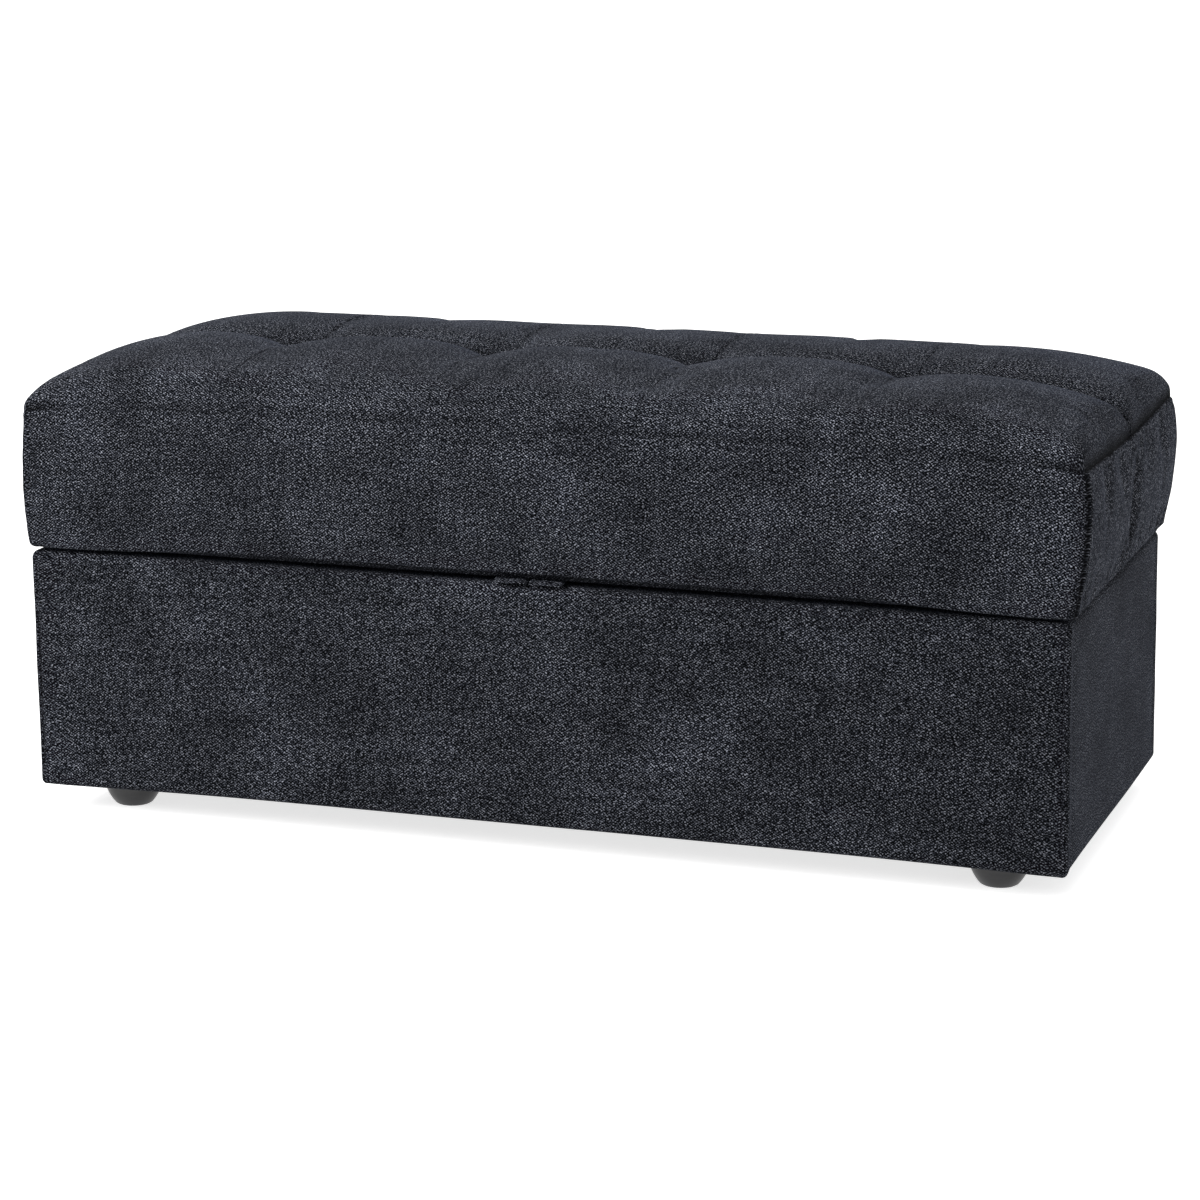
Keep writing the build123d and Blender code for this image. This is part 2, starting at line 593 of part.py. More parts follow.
# The stop pin meets the upper arm's edge when the lid stands upright.
UPPER_ANGLE = atan2(STAY_LID_PIVOT[1] - ELBOW[1], STAY_LID_PIVOT[0] - ELBOW[0])
STOP_AHEAD = ARM_WIDTH / 2 + STOP_PIN_RADIUS + 0.3
STOP_ALONG = 9.0
stop_angle = UPPER_ANGLE + radians(90) + atan2(STOP_AHEAD, STOP_ALONG)
stop_reach = hypot(STOP_AHEAD, STOP_ALONG)
STOP_PIN = (ELBOW[0] + stop_reach * cos(stop_angle), ELBOW[1] + stop_reach * sin(stop_angle))
RUNNING_BORE = STAY_RIVET_RADIUS + RUNNING_GAP

for name, side in SIDES.items():
    upper_arm = link_plate(
        side, UPPER_ARM_X, ELBOW, STAY_LID_PIVOT,
        (STAY_RIVET_RADIUS + ELBOW_CLEARANCE, RUNNING_BORE),
    )
    save(upper_arm, f"stay_{name}_upper_arm")

    with BuildPart() as lower_arm:
        add(link_plate(
            side, LOWER_ARM_X, ELBOW, STAY_BASE_PIVOT, (RUNNING_BORE, RUNNING_BORE)
        ))
        plane, outwards = across(side, LOWER_ARM_X, ARM_THICKNESS)
        with BuildSketch(plane):
            with Locations(STOP_PIN):
                Circle(STOP_PIN_RADIUS + 2)
            with Locations(ELBOW):
                Circle(STOP_PIN_RADIUS + 3)
            make_hull()
            with Locations(ELBOW):
                Circle(RUNNING_BORE, mode=Mode.SUBTRACT)
        extrude(amount=outwards)
        plane, outwards = across(side, UPPER_ARM_X, LOWER_ARM_X - UPPER_ARM_X)
        with BuildSketch(plane):
            with Locations(STOP_PIN):
                Circle(STOP_PIN_RADIUS)
        extrude(amount=outwards)
    save(lower_arm.part, f"stay_{name}_lower_arm")

    with BuildPart() as elbow_rivet:
        for radius, start, end in (
            (STAY_RIVET_RADIUS, UPPER_ARM_X - 0.3, LOWER_ARM_X + ARM_THICKNESS + 0.2),
            (RIVET_HEAD_RADIUS, UPPER_ARM_X - 1.5, UPPER_ARM_X - 0.3),
            (RIVET_HEAD_RADIUS, LOWER_ARM_X + ARM_THICKNESS + 0.2, LOWER_ARM_X + ARM_THICKNESS + 1.4),
        ):
            plane, outwards = across(side, start, end - start)
            with BuildSketch(plane):
                with Locations(ELBOW):
                    Circle(radius)
            extrude(amount=outwards)
    save(elbow_rivet.part, f"stay_{name}_elbow_rivet")

    with BuildPart() as base_bracket:
        plane, outwards = across(side, STAY_WALL_X - ARM_THICKNESS, ARM_THICKNESS)
        with BuildSketch(plane):
            with Locations(STAY_BASE_PIVOT):
                RectangleRounded(BRACKET_LENGTH, 18, 5)
        extrude(amount=outwards)
        for radius, start, end in (
            (STAY_RIVET_RADIUS, LOWER_ARM_X - 0.2, STAY_WALL_X - ARM_THICKNESS),
            (RIVET_HEAD_RADIUS, LOWER_ARM_X - 1.7, LOWER_ARM_X - 0.2),
        ):
            plane, outwards = across(side, start, end - start)
            with BuildSketch(plane):
                with Locations(STAY_BASE_PIVOT):
                    Circle(radius)
            extrude(amount=outwards)
        add(base_hardware_bores, mode=Mode.SUBTRACT)
    save(base_bracket.part, f"stay_{name}_base_bracket")

    with BuildPart() as lid_bracket:
        pivot_y, pivot_z = STAY_LID_PIVOT
        y_limits = (pivot_y - BRACKET_LENGTH / 2, pivot_y + BRACKET_LENGTH / 2)
        x_limits = sorted((side * (EAR_X - 24), side * (EAR_X + ARM_THICKNESS)))
        add(slab(x_limits, y_limits, (LID_BOTTOM - ARM_THICKNESS, LID_BOTTOM)))
        plane, outwards = across(side, EAR_X, ARM_THICKNESS)
        with BuildSketch(plane):
            with Locations(STAY_LID_PIVOT):
                Circle(8)
            with Locations((pivot_y, (pivot_z + LID_BOTTOM) / 2)):
                Rectangle(16, LID_BOTTOM - pivot_z)
        extrude(amount=outwards)
        for radius, start, end in (
            (STAY_RIVET_RADIUS, EAR_X + ARM_THICKNESS, UPPER_ARM_X + ARM_THICKNESS + 0.2),
            (RIVET_HEAD_RADIUS, UPPER_ARM_X + ARM_THICKNESS + 0.2, LOWER_ARM_X + 1.2),
        ):
            plane, outwards = across(side, start, end - start)
            with BuildSketch(plane):
                with Locations(STAY_LID_PIVOT):
                    Circle(radius)
            extrude(amount=outwards)
        add(lid_hardware_bores, mode=Mode.SUBTRACT)
    save(lid_bracket.part, f"stay_{name}_lid_bracket")
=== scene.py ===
"""The looks of the upholstered storage bench: padded lid, fabric box, lining, hardware and feet."""

import json
import math

import bpy
import numpy as np
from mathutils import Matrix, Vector, noise


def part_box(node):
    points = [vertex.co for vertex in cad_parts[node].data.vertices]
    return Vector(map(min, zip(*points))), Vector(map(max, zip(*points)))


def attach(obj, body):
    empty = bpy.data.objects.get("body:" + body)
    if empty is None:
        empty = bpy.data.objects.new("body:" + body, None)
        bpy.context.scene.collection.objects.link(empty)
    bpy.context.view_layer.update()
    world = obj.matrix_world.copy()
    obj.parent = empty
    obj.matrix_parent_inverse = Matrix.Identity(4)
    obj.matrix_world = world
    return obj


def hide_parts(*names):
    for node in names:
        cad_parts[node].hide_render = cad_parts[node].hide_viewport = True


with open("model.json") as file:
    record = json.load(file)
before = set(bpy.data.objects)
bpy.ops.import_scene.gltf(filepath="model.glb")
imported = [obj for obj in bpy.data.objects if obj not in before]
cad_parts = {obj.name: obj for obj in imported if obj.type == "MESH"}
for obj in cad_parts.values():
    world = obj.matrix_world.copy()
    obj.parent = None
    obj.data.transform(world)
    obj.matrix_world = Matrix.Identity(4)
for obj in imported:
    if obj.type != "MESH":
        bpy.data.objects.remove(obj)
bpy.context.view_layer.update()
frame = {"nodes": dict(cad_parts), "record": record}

MM = 0.001


# ---- helpers ---------------------------------------------------------------------------------------
def steps_between(stops, coarse, fine, reach):
    """Places from the first stop to the last, each stop included, closer together near the stops."""
    places = [stops[0]]
    for start, end in zip(stops[:-1], stops[1:]):
        half, offsets = (end - start) / 2, [0.0]
        while offsets[-1] < half:
            offsets.append(offsets[-1] + fine + (coarse - fine) * min(1.0, offsets[-1] / reach))
        offsets = np.array(offsets) * half / offsets[-1]
        places += list(start + offsets[1:])
        places += list(end - offsets[-2::-1])
    return np.array(places)


def noise_at(points, size, seed):
    """Smooth noise of about -1 to 1 at each point, with bumps of the given size in metres."""
    shift = Vector((13.7 * seed, 5.1 * seed, 9.3 * seed))
    scaled = np.asarray(points).reshape(-1, 3) / size
    values = [noise.noise(Vector(p) + shift) for p in scaled]
    return np.array(values).reshape(np.asarray(points).shape[:-1])


def smooth(t):
    """0 to 1 with a soft start and end."""
    t = np.clip(t, 0.0, 1.0)
    return t * t * (3 - 2 * t)


def soft_distance(d, roundness):
    """A distance whose pointed lowest place is rounded off."""
    return np.sqrt(d * d + roundness * roundness) - roundness


def new_piece(name, verts, faces, material, weave=None, seam_and_painted_shade=None):
    """A mesh object, with what its fabric needs to know where that is given.

    weave holds three numbers for every face corner, the cloth's own coordinates. The last argument holds
    one number for every point, 1 where the colour is darkened towards black: along seam lines, partly their
    thread and parted pile and partly painted shade, and in hollows, valleys and gaps, where it is painted
    shade.
    """
    mesh = bpy.data.meshes.new(name)
    mesh.from_pydata([tuple(v) for v in verts], [], [tuple(int(i) for i in f) for f in faces])
    if weave is not None:
        attribute = mesh.attributes.new("weave", "FLOAT_VECTOR", "CORNER")
        attribute.data.foreach_set("vector", np.asarray(weave, np.float32).ravel())
    if seam_and_painted_shade is not None:
        attribute = mesh.attributes.new("seam_and_painted_shade", "FLOAT", "POINT")
        attribute.data.foreach_set("value", np.clip(seam_and_painted_shade, 0, 1).astype(np.float32).ravel())
    mesh.polygons.foreach_set("use_smooth", [True] * len(mesh.polygons))
    mesh.materials.append(material)
    mesh.update()
    piece = bpy.data.objects.new(name, mesh)
    bpy.context.scene.collection.objects.link(piece)
    return piece


# ---- materials -------------------------------------------------------------------------------------
class Nodes:
    """Builds a material's node tree with short calls."""

    def __init__(self, name):
        self.material = bpy.data.materials.new(name)
        self.material.use_nodes = True
        self.tree = self.material.node_tree
        self.shader = self.tree.nodes["Principled BSDF"]

    def node(self, kind, links=None, **settings):
        made = self.tree.nodes.new(kind)
        for key, value in settings.items():
            setattr(made, key, value)
        for socket, value in (links or {}).items():
            self.put(made.inputs[socket], value)
        return made

    def put(self, socket, value):
        if isinstance(value, bpy.types.NodeSocket):
            self.tree.links.new(value, socket)
        else:
            socket.default_value = value

    def maths(self, operation, *values):
        made = self.node("ShaderNodeMath", operation=operation)
        for socket, value in zip(made.inputs, values):
            self.put(socket, value)
        return made.outputs[0]

    def noise(self, vector, scale, detail=2.0, roughness=0.5):
        made = self.node("ShaderNodeTexNoise", {
            "Vector": vector, "Scale": scale, "Detail": detail, "Roughness": roughness,
        })
        return made.outputs["Fac"]

    def mapped(self, vector, scale):
        made = self.node("ShaderNodeMapping", {"Vector": vector})
        made.inputs["Scale"].default_value = scale
        return made.outputs[0]

    def ramp(self, value, *stops):
        made = self.node("ShaderNodeValToRGB", {"Fac": value})
        points = made.color_ramp.elements
        while len(points) < len(stops):
            points.new(0.5)
        for point, (place, colour) in zip(points, stops):
            point.position = place
            point.color = (*colour, 1)
        return made.outputs["Color"]

    def mix(self, amount, a, b, blend="MIX"):
        made = self.node("ShaderNodeMix", data_type="RGBA", blend_type=blend)
        self.put(made.inputs["Factor"], amount)
        for socket, value in ((made.inputs[6], a), (made.inputs[7], b)):
            self.put(socket, value if isinstance(value, bpy.types.NodeSocket) else (*value, 1))
        return made.outputs[2]

    def bump(self, height, distance, strength):
        links = {"Height": height, "Distance": distance, "Strength": strength}
        return self.node("ShaderNodeBump", links).outputs[0]

    def finish(self, **inputs):
        for name, value in inputs.items():
            self.put(self.shader.inputs[name.replace("_", " ")], value)
        return self.material

    def place(self):
        return self.node("ShaderNodeTexCoord").outputs["Object"]


WEAVE_X, WEAVE_Y = 3.9 * MM, 2.75 * MM          # repeat of the weave across and down


def upholstery(name="upholstery_fabric"):
    """Dark slate chenille: a woven lattice of light and dark yarn, brushed pile, a cool sheen, and painted
    shade at seams and hollows.
    """
    n = Nodes(name)
    weave = n.node("ShaderNodeAttribute", attribute_name="weave").outputs["Vector"]
    wander = n.node("ShaderNodeTexNoise", {"Vector": weave, "Scale": 160.0, "Detail": 2.0})
    centred = n.node("ShaderNodeVectorMath", {0: wander.outputs["Color"], 1: (0.5, 0.5, 0.5)},
                     operation="SUBTRACT")
    drift = n.node("ShaderNodeVectorMath", {0: centred.outputs[0], "Scale": 5 * MM}, operation="SCALE")
    yarn_place = n.node("ShaderNodeVectorMath", {0: weave, 1: drift.outputs[0]}, operation="ADD").outputs[0]
    split = n.node("ShaderNodeSeparateXYZ", {"Vector": yarn_place})
    across = n.maths("SINE", n.maths("MULTIPLY", split.outputs["X"], 2 * math.pi / WEAVE_X))
    down = n.maths("SINE", n.maths("MULTIPLY", split.outputs["Y"], 2 * math.pi / WEAVE_Y))
    lattice = n.maths("MULTIPLY", across, down)
    floats = n.noise(n.mapped(weave, (470, 560, 1)), 1.0, 0.0, 0.5)
    fuzz = n.noise(n.mapped(weave, (680, 780, 1)), 1.0, 0.0, 0.5)
    grain = n.maths("ADD", n.maths("MULTIPLY", lattice, 0.20), n.maths("MULTIPLY", floats, 0.50))
    grain = n.maths("ADD", grain, n.maths("MULTIPLY", fuzz, 0.50))
    yarn = n.ramp(
        grain,
        (0.33, (0.0, 0.0, 0.0)), (0.445, (0.0035, 0.0042, 0.0058)), (0.54, (0.0185, 0.0203, 0.0262)),
        (0.64, (0.068, 0.073, 0.088)), (0.83, (0.31, 0.322, 0.36)),
    )
    blotches = n.noise(n.mapped(weave, (11, 13, 1)), 1.0, 3.0, 0.6)
    brushed = n.noise(n.mapped(weave, (9, 120, 1)), 1.0, 3.0, 0.6)
    hanging = n.noise(n.mapped(weave, (150, 7, 1)), 1.0, 3.0, 0.6)
    pile = n.maths("ADD", n.maths("MULTIPLY", blotches, 0.5), n.maths("MULTIPLY", brushed, 0.25))
    pile = n.maths("ADD", pile, n.maths("MULTIPLY", hanging, 0.25))
    shade = n.ramp(pile, (0.34, (0.52, 0.52, 0.53)), (0.5, (0.95, 0.95, 0.96)), (0.66, (1.55, 1.56, 1.60)))
    colour = n.mix(1.0, yarn, shade, "MULTIPLY")
    # Painted shade: the per-point darkening attribute mixes the colour towards black and takes the sheen
    # off. Along seam lines this is partly their thread and parted pile and partly painted shade. In tuft
    # hollows, valleys, corner grooves and the gap between lid and box it is painted shade only.
    seam_and_painted_shade = n.node("ShaderNodeAttribute", attribute_name="seam_and_painted_shade").outputs["Fac"]
    colour = n.mix(seam_and_painted_shade, colour, (0.0012, 0.0013, 0.0016))
    sheen = n.maths("MULTIPLY", n.maths("SUBTRACT", 1.0, seam_and_painted_shade), 0.065)
    normal = n.bump(grain, 0.9 * MM, 0.35)
    return n.finish(
        Base_Color=colour, Roughness=0.9, Normal=normal, Specular_IOR_Level=0.03,
        Sheen_Weight=sheen, Sheen_Roughness=0.24, Sheen_Tint=(0.55, 0.66, 1.0, 1),
    )


def lining_cloth(name="lining_nonwoven"):
    """Black non-woven lining with its embossed dots."""
    n = Nodes(name)
    place = n.place()
    dots = n.node("ShaderNodeTexVoronoi", {"Vector": place, "Scale": 420.0}).outputs["Distance"]
    fibres = n.noise(place, 900.0, 4.0, 0.7)
    colour = n.ramp(fibres, (0.3, (0.008, 0.008, 0.009)), (0.7, (0.028, 0.028, 0.031)))
    height = n.maths("ADD", n.maths("MULTIPLY", dots, 0.7), n.maths("MULTIPLY", fibres, 0.3))
    return n.finish(
        Base_Color=colour, Roughness=0.8, Normal=n.bump(height, 0.3 * MM, 0.5),
        Sheen_Weight=0.15, Sheen_Roughness=0.5,
    )


def moulded_plastic(name="black_moulded_plastic"):
    """Black polypropylene with a fine moulded texture and light scuffs."""
    n = Nodes(name)
    place = n.place()
    texture = n.noise(place, 2600.0, 3.0, 0.6)
    scuffs = n.noise(n.mapped(place, (60, 60, 400)), 1.0, 4.0, 0.7)
    roughness = n.maths("ADD", 0.26, n.maths("MULTIPLY", scuffs, 0.2))
    colour = n.ramp(scuffs, (0.4, (0.006, 0.006, 0.007)), (0.8, (0.016, 0.016, 0.018)))
    return n.finish(
        Base_Color=colour, Roughness=roughness, Normal=n.bump(texture, 0.08 * MM, 0.5),
        Specular_IOR_Level=0.5,
    )


def black_rubber(name="bumper_rubber"):
    n = Nodes(name)
    texture = n.noise(n.place(), 1500.0, 3.0, 0.6)
    colour = n.ramp(texture, (0.3, (0.012, 0.012, 0.012)), (0.7, (0.03, 0.03, 0.03)))
    return n.finish(Base_Color=colour, Roughness=0.7, Normal=n.bump(texture, 0.1 * MM, 0.5))


def zinc_steel(name="zinc_plated_steel"):
    """Zinc-plated steel with a fine brushed grain and a slight yellow passivation."""
    n = Nodes(name)
    place = n.place()
    grain = n.noise(n.mapped(place, (90, 2200, 2200)), 1.0, 3.0, 0.6)
    clouds = n.noise(place, 45.0, 2.0, 0.5)
    colour = n.ramp(clouds, (0.3, (0.33, 0.325, 0.31)), (0.7, (0.41, 0.41, 0.405)))
    roughness = n.maths("ADD", 0.30, n.maths("MULTIPLY", clouds, 0.12))
    return n.finish(
        Base_Color=colour, Metallic=1.0, Roughness=roughness,
        Normal=n.bump(grain, 0.05 * MM, 0.5),
    )


def sawn_wood(name, light, dark, ring_scale):
    """Softwood or plywood with long grain along X."""
    n = Nodes(name)
    place = n.mapped(n.place(), (2.2, 26, 26))
    rings = n.noise(place, ring_scale, 4.0, 0.65)
    fibres = n.noise(n.mapped(n.place(), (40, 1600, 1600)), 1.0, 2.0, 0.6)
    grain = n.maths("ADD", n.maths("MULTIPLY", rings, 0.75), n.maths("MULTIPLY", fibres, 0.25))
    colour = n.ramp(grain, (0.35, dark), (0.62, light))
    return n.finish(
        Base_Color=colour, Roughness=0.7, Normal=n.bump(fibres, 0.15 * MM, 0.5),
    )


def soft_filling(name, light, dark, scale):
    """Foam cells or fibre wadding."""
    n = Nodes(name)
    cells = n.noise(n.place(), scale, 4.0, 0.7)
    colour = n.ramp(cells, (0.3, dark), (0.7, light))
    return n.finish(Base_Color=colour, Roughness=0.95, Normal=n.bump(cells, 0.6 * MM, 0.6))


UPHOLSTERY = upholstery()
LINING = lining_cloth()
PLASTIC = moulded_plastic()
RUBBER = black_rubber()
STEEL = zinc_steel()
SLOT_MATERIALS = {
    "upholstery": UPHOLSTERY,
    "lining": LINING,
    "foot_plastic": PLASTIC,
    "bumper_rubber": RUBBER,
    "zinc_steel": STEEL,
    "plywood": sawn_wood("birch_plywood", (0.60, 0.43, 0.26), (0.42, 0.27, 0.15), 1.0),
    "pine": sawn_wood("pine", (0.70, 0.50, 0.28), (0.48, 0.29, 0.13), 1.6),
    "foam": soft_filling("foam", (0.80, 0.74, 0.52), (0.62, 0.56, 0.38), 900.0),
    "wadding": soft_filling("fibre_wadding", (0.84, 0.84, 0.82), (0.68, 0.68, 0.66), 500.0),
    "twine": soft_filling("waxed_twine", (0.66, 0.60, 0.48), (0.45, 0.40, 0.30), 2500.0),
}
for subpart in frame["record"]["subparts"]:
    node = frame["nodes"][subpart["node"]]
    node.data.materials.clear()
    node.data.materials.append(SLOT_MATERIALS[subpart["material_slot"]])


# ---- padded lid ------------------------------------------------------------------------------------
seam_x, seam_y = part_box("lid_top_cover")[1].xy
lid_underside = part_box("lid_lining")[0].z
twine_low, twine_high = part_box("tuft_twines")
twine_radius = (twine_high.y - twine_low.y) / 2
tuft_x = np.linspace(twine_low.x + twine_radius, twine_high.x - twine_radius, 4)

CORNER_SEAM_Z = 0.411            # the seam between bands and top, at the corners
FRONT_SEAM_RISE = 0.0095
END_SEAM_DIP = 0.006
CORNER_DIP = 0.002
PLAN_ROUND = 0.008
TUFT_Z = 0.435
CROSS_SEAM_RISE = 0.0285         # how fast the padding rises beside the row of tufts
PUFF_RISES = (0.015, 0.0185, 0.0185, 0.0185, 0.0087)     # left end puff to right end puff
SEAM_SPREAD = 0.028
FRONT_SHOULDER = (0.083, 0.150)  # where the top starts to fall, and the radius it falls with
LEFT_SHOULDER = (0.380, 0.508)
RIGHT_SHOULDER = (0.360, 0.426)
FRONT_ROLL = (0.447, 0.030)      # share of the fall taken by the tight roll at the seam, and its width
LEFT_ROLL = (0.446, 0.020)
RIGHT_ROLL = (0.519, 0.020)
LID_FOOT_X, LID_FOOT_Y = 0.5285, 0.2358               # the bands' lower edge
LEFT_SWELL, RIGHT_SWELL, LONG_SWELL = -0.003, 0.0055, 0.0055
LOWER_EDGE_Z, FRONT_ARCH = 0.2738, 0.0068
EDGE_ROUND = 0.0052
TURN_UNDER = 0.036
TURN_STEPS = (18, 36, 54, 72, 90)
UNDER_STEPS = (0.09, 0.3, 0.6, 0.99, 1.0)
BOARD_COVERED = 0.003            # the last row turns up into the board, out of sight


def shoulder(distance, start, end, radius):
    """1 up to the start, then down a round shoulder to 0 at the end."""
    run = np.clip(distance - start, 0.0, end - start)
    whole = end - start
    low = math.sqrt(radius * radius - whole * whole)
    return (np.sqrt(radius * radius - run * run) - low) / (radius - low)


def rolled_shoulder(distance, end, start_radius, roll):
    """A shoulder whose last part drops in a tight roll that meets the band upright."""
    share, width = roll
    start, radius = start_radius
    near = np.clip(1 - (end - distance) / width, 0.0, 1.0)
    return share * np.sqrt(1 - near**2) + (1 - share) * shoulder(distance, start, end, radius)


def seam_height(x, y):
    """Height of the seam round the top, also used as the level the padding rises from."""
    across, along = np.abs(y) / seam_y, np.abs(x) / seam_x
    from_corner = np.hypot((1 - across) * seam_y, (1 - along) * seam_x)
    return (CORNER_SEAM_Z + FRONT_SEAM_RISE * (1 - along**4)
            - END_SEAM_DIP * (1 - across**2) * along**8 - CORNER_DIP * np.exp(-from_corner / 0.014))


def round_corners(points, half_x, half_y):
    """Points of a rectangle with its four corners drawn in to a small radius."""
    inner_x, inner_y = half_x - PLAN_ROUND, half_y - PLAN_ROUND
    over_x = np.clip((np.abs(points[..., 0]) - inner_x) / PLAN_ROUND, 0, 1)
    over_y = np.clip((np.abs(points[..., 1]) - inner_y) / PLAN_ROUND, 0, 1)
    draw_x = over_x * (1 - np.sqrt(1 - over_y**2 / 2)) * PLAN_ROUND
    draw_y = over_y * (1 - np.sqrt(1 - over_x**2 / 2)) * PLAN_ROUND
    moved = points.copy()
    moved[..., 0] -= np.sign(points[..., 0]) * draw_x
    moved[..., 1] -= np.sign(points[..., 1]) * draw_y
    return moved


def cushion_height(x, y):
    """The top of the lid: ten puffs between one lengthwise seam and four cross seams."""
    side = np.abs(y)
    across = side / seam_y
    nearest = np.min([np.abs(x - place) for place in tuft_x], axis=0)
    cell = np.searchsorted(tuft_x, x)
    puff = np.array(PUFF_RISES)[cell]
    cross_seam = CROSS_SEAM_RISE * (1 - np.exp(-soft_distance(side, 0.003) / SEAM_SPREAD))
    away = soft_distance(nearest, 0.002 + 0.25 * side)
    full = 1 - math.exp(-(tuft_x[1] - tuft_x[0]) / 2 / SEAM_SPREAD)
    swell = (1 - np.exp(-away / SEAM_SPREAD)) / full
    front = np.exp(-side / 0.22) * np.clip(1 - across, 0, 1) ** 0.7
    back = np.exp(-side / 0.09) * (1 - across)
    reach = np.where(y < 0, front, back)
    top = TUFT_Z + cross_seam + puff * swell * reach
    fall_y = rolled_shoulder(side, seam_y, FRONT_SHOULDER, FRONT_ROLL)
    fall_x = np.where(
        x < 0,
        rolled_shoulder(-x, seam_x, LEFT_SHOULDER, LEFT_ROLL),
        rolled_shoulder(x, seam_x, RIGHT_SHOULDER, RIGHT_ROLL),
    )
    fall = fall_x * fall_y / np.maximum(fall_x + fall_y - fall_x * fall_y, 1e-9)
    level = seam_height(x, y)
    return level + (top - level) * fall


def lower_edge(x, y):
    """Height of the bands' lower edge, which arches up along the front."""
    along = np.abs(x) / seam_x
    arch = smooth((0.95 - along) / 0.42) * np.where(y < 0, 1.0, 0.3)
    on_front = smooth((np.abs(y) / seam_y - 0.9) / 0.1)
    return LOWER_EDGE_Z + FRONT_ARCH * arch * on_front


def rectangle_loop(xs, ys):
    """The rim of a grid, counter-clockwise from above, as index pairs."""
    last_x, last_y = len(xs) - 1, len(ys) - 1
    loop = [(i, 0) for i in range(last_x)]
    loop += [(last_x, j) for j in range(last_y)]
    loop += [(i, last_y) for i in range(last_x, 0, -1)]
    loop += [(0, j) for j in range(last_y, 0, -1)]
    return loop


def band_rows(shares):
    """Each row below the seam: (share of the way down, turn of the lower edge, way under)."""
    rows = [(share, 0.0, 0.0) for share in shares[1:]]
    rows += [(1.0, math.radians(turn), 0.0) for turn in TURN_STEPS]
    return rows + [(1.0, math.pi / 2, way) for way in UNDER_STEPS]


def lid_surface(xs, ys, shares):
    """Top grid and band rows of the closed lid cushion, as two arrays of points."""
    grid_x, grid_y = np.meshgrid(xs, ys, indexing="ij")
    top = np.stack([grid_x, grid_y, cushion_height(grid_x, grid_y)], axis=-1)
    rim = np.array([top[i, j] for i, j in rectangle_loop(xs, ys)])
    rows = []
    edge = lower_edge(rim[:, 0], rim[:, 1])
    for share, turn, under in band_rows(shares):
        end_swell = np.where(rim[:, 0] < 0, LEFT_SWELL, RIGHT_SWELL) * math.sin(math.pi * share**0.7)
        half_x = seam_x + (LID_FOOT_X - seam_x) * share**2.5 + end_swell
        half_y = seam_y + (LID_FOOT_Y - seam_y) * share + LONG_SWELL * math.sin(math.pi * share)
        inward = EDGE_ROUND * (1 - math.cos(turn)) + (TURN_UNDER - EDGE_ROUND) * under
        x = rim[:, 0] * (half_x - inward) / seam_x
        y = rim[:, 1] * (half_y - inward) / seam_y
        z = rim[:, 2] + (edge + EDGE_ROUND - rim[:, 2]) * share - EDGE_ROUND * math.sin(turn)
        z = z + (lid_underside + 0.3 * MM - z) * min(1.0, under / UNDER_STEPS[0])
        z = z + (BOARD_COVERED if under == 1.0 else 0.0)
        row = np.stack([x, y, z], axis=-1)
        rows.append(round_corners(row, np.max(np.abs(x)), np.max(np.abs(y))))
    return round_corners(top, seam_x, seam_y), np.array(rows)


def arc_lengths(points, axis):
    """Running length along one axis of a grid of points."""
    parts = np.linalg.norm(np.diff(points, axis=axis), axis=-1)
    lead = np.zeros_like(np.take(parts, [0], axis=axis))
    return np.concatenate([lead, np.cumsum(parts, axis=axis)], axis=axis)


def lid_faces(xs, ys, row_count):
    """Faces of the closed lid as lists of point numbers, and for each the grid places of its corners."""
    count_x, count_y = len(xs), len(ys)
    index = np.arange(count_x * count_y).reshape(count_x, count_y)
    loop = rectangle_loop(xs, ys)
    size = len(loop)
    rim = np.array([index[i, j] for i, j in loop])
    below = count_x * count_y + np.arange(row_count * size).reshape(row_count, size)
    chain = np.vstack([rim[None, :], below])
    top_places = [
        ((i, j), (i + 1, j), (i + 1, j + 1), (i, j + 1))
        for i in range(count_x - 1) for j in range(count_y - 1)
    ]
    band_places = [
        ((k, p), (k + 1, p), (k + 1, (p + 1) % size), (k, (p + 1) % size))
        for k in range(row_count) for p in range(size)
    ]
    faces = [[index[c] for c in places] for places in top_places]
    faces += [[chain[c] for c in places] for places in band_places]
    faces.append(list(chain[-1][::-1]))
    return faces, top_places, band_places


def groove(distance, depth, width):
    """A sewn seam's cross-section: a pinch between two small rounded lips."""
    lips = 0.28 * np.exp(-(((distance - 2.6 * width) / (1.6 * width)) ** 2))
    return depth * (lips - np.exp(-((distance / width) ** 2)))


def pucker(points, distance, depth, reach, seed):
    """Small ripples that run into a seam and die out away from it."""
    return depth * noise_at(points, 0.011, seed) * np.exp(-distance / reach)


def loop_gaps(xs, ys, row_count):
    """For each band point: is it on an end band, and how far is the nearest vertical corner."""
    x, y = np.array([(xs[i], ys[j]) for i, j in rectangle_loop(xs, ys)]).T
    on_end = np.abs(x) > seam_x - 1e-6
    gap = np.where(on_end, seam_y - np.abs(y), seam_x - np.abs(x))
    return np.tile(on_end, (row_count, 1)), np.tile(gap, (row_count, 1))


def rim_strength(x):
    """The seam round the top is drawn tight at the ends and corners, and lies nearly flat between."""
    return 0.28 + 0.72 * smooth((np.abs(x) / seam_x - 0.9) / 0.09)


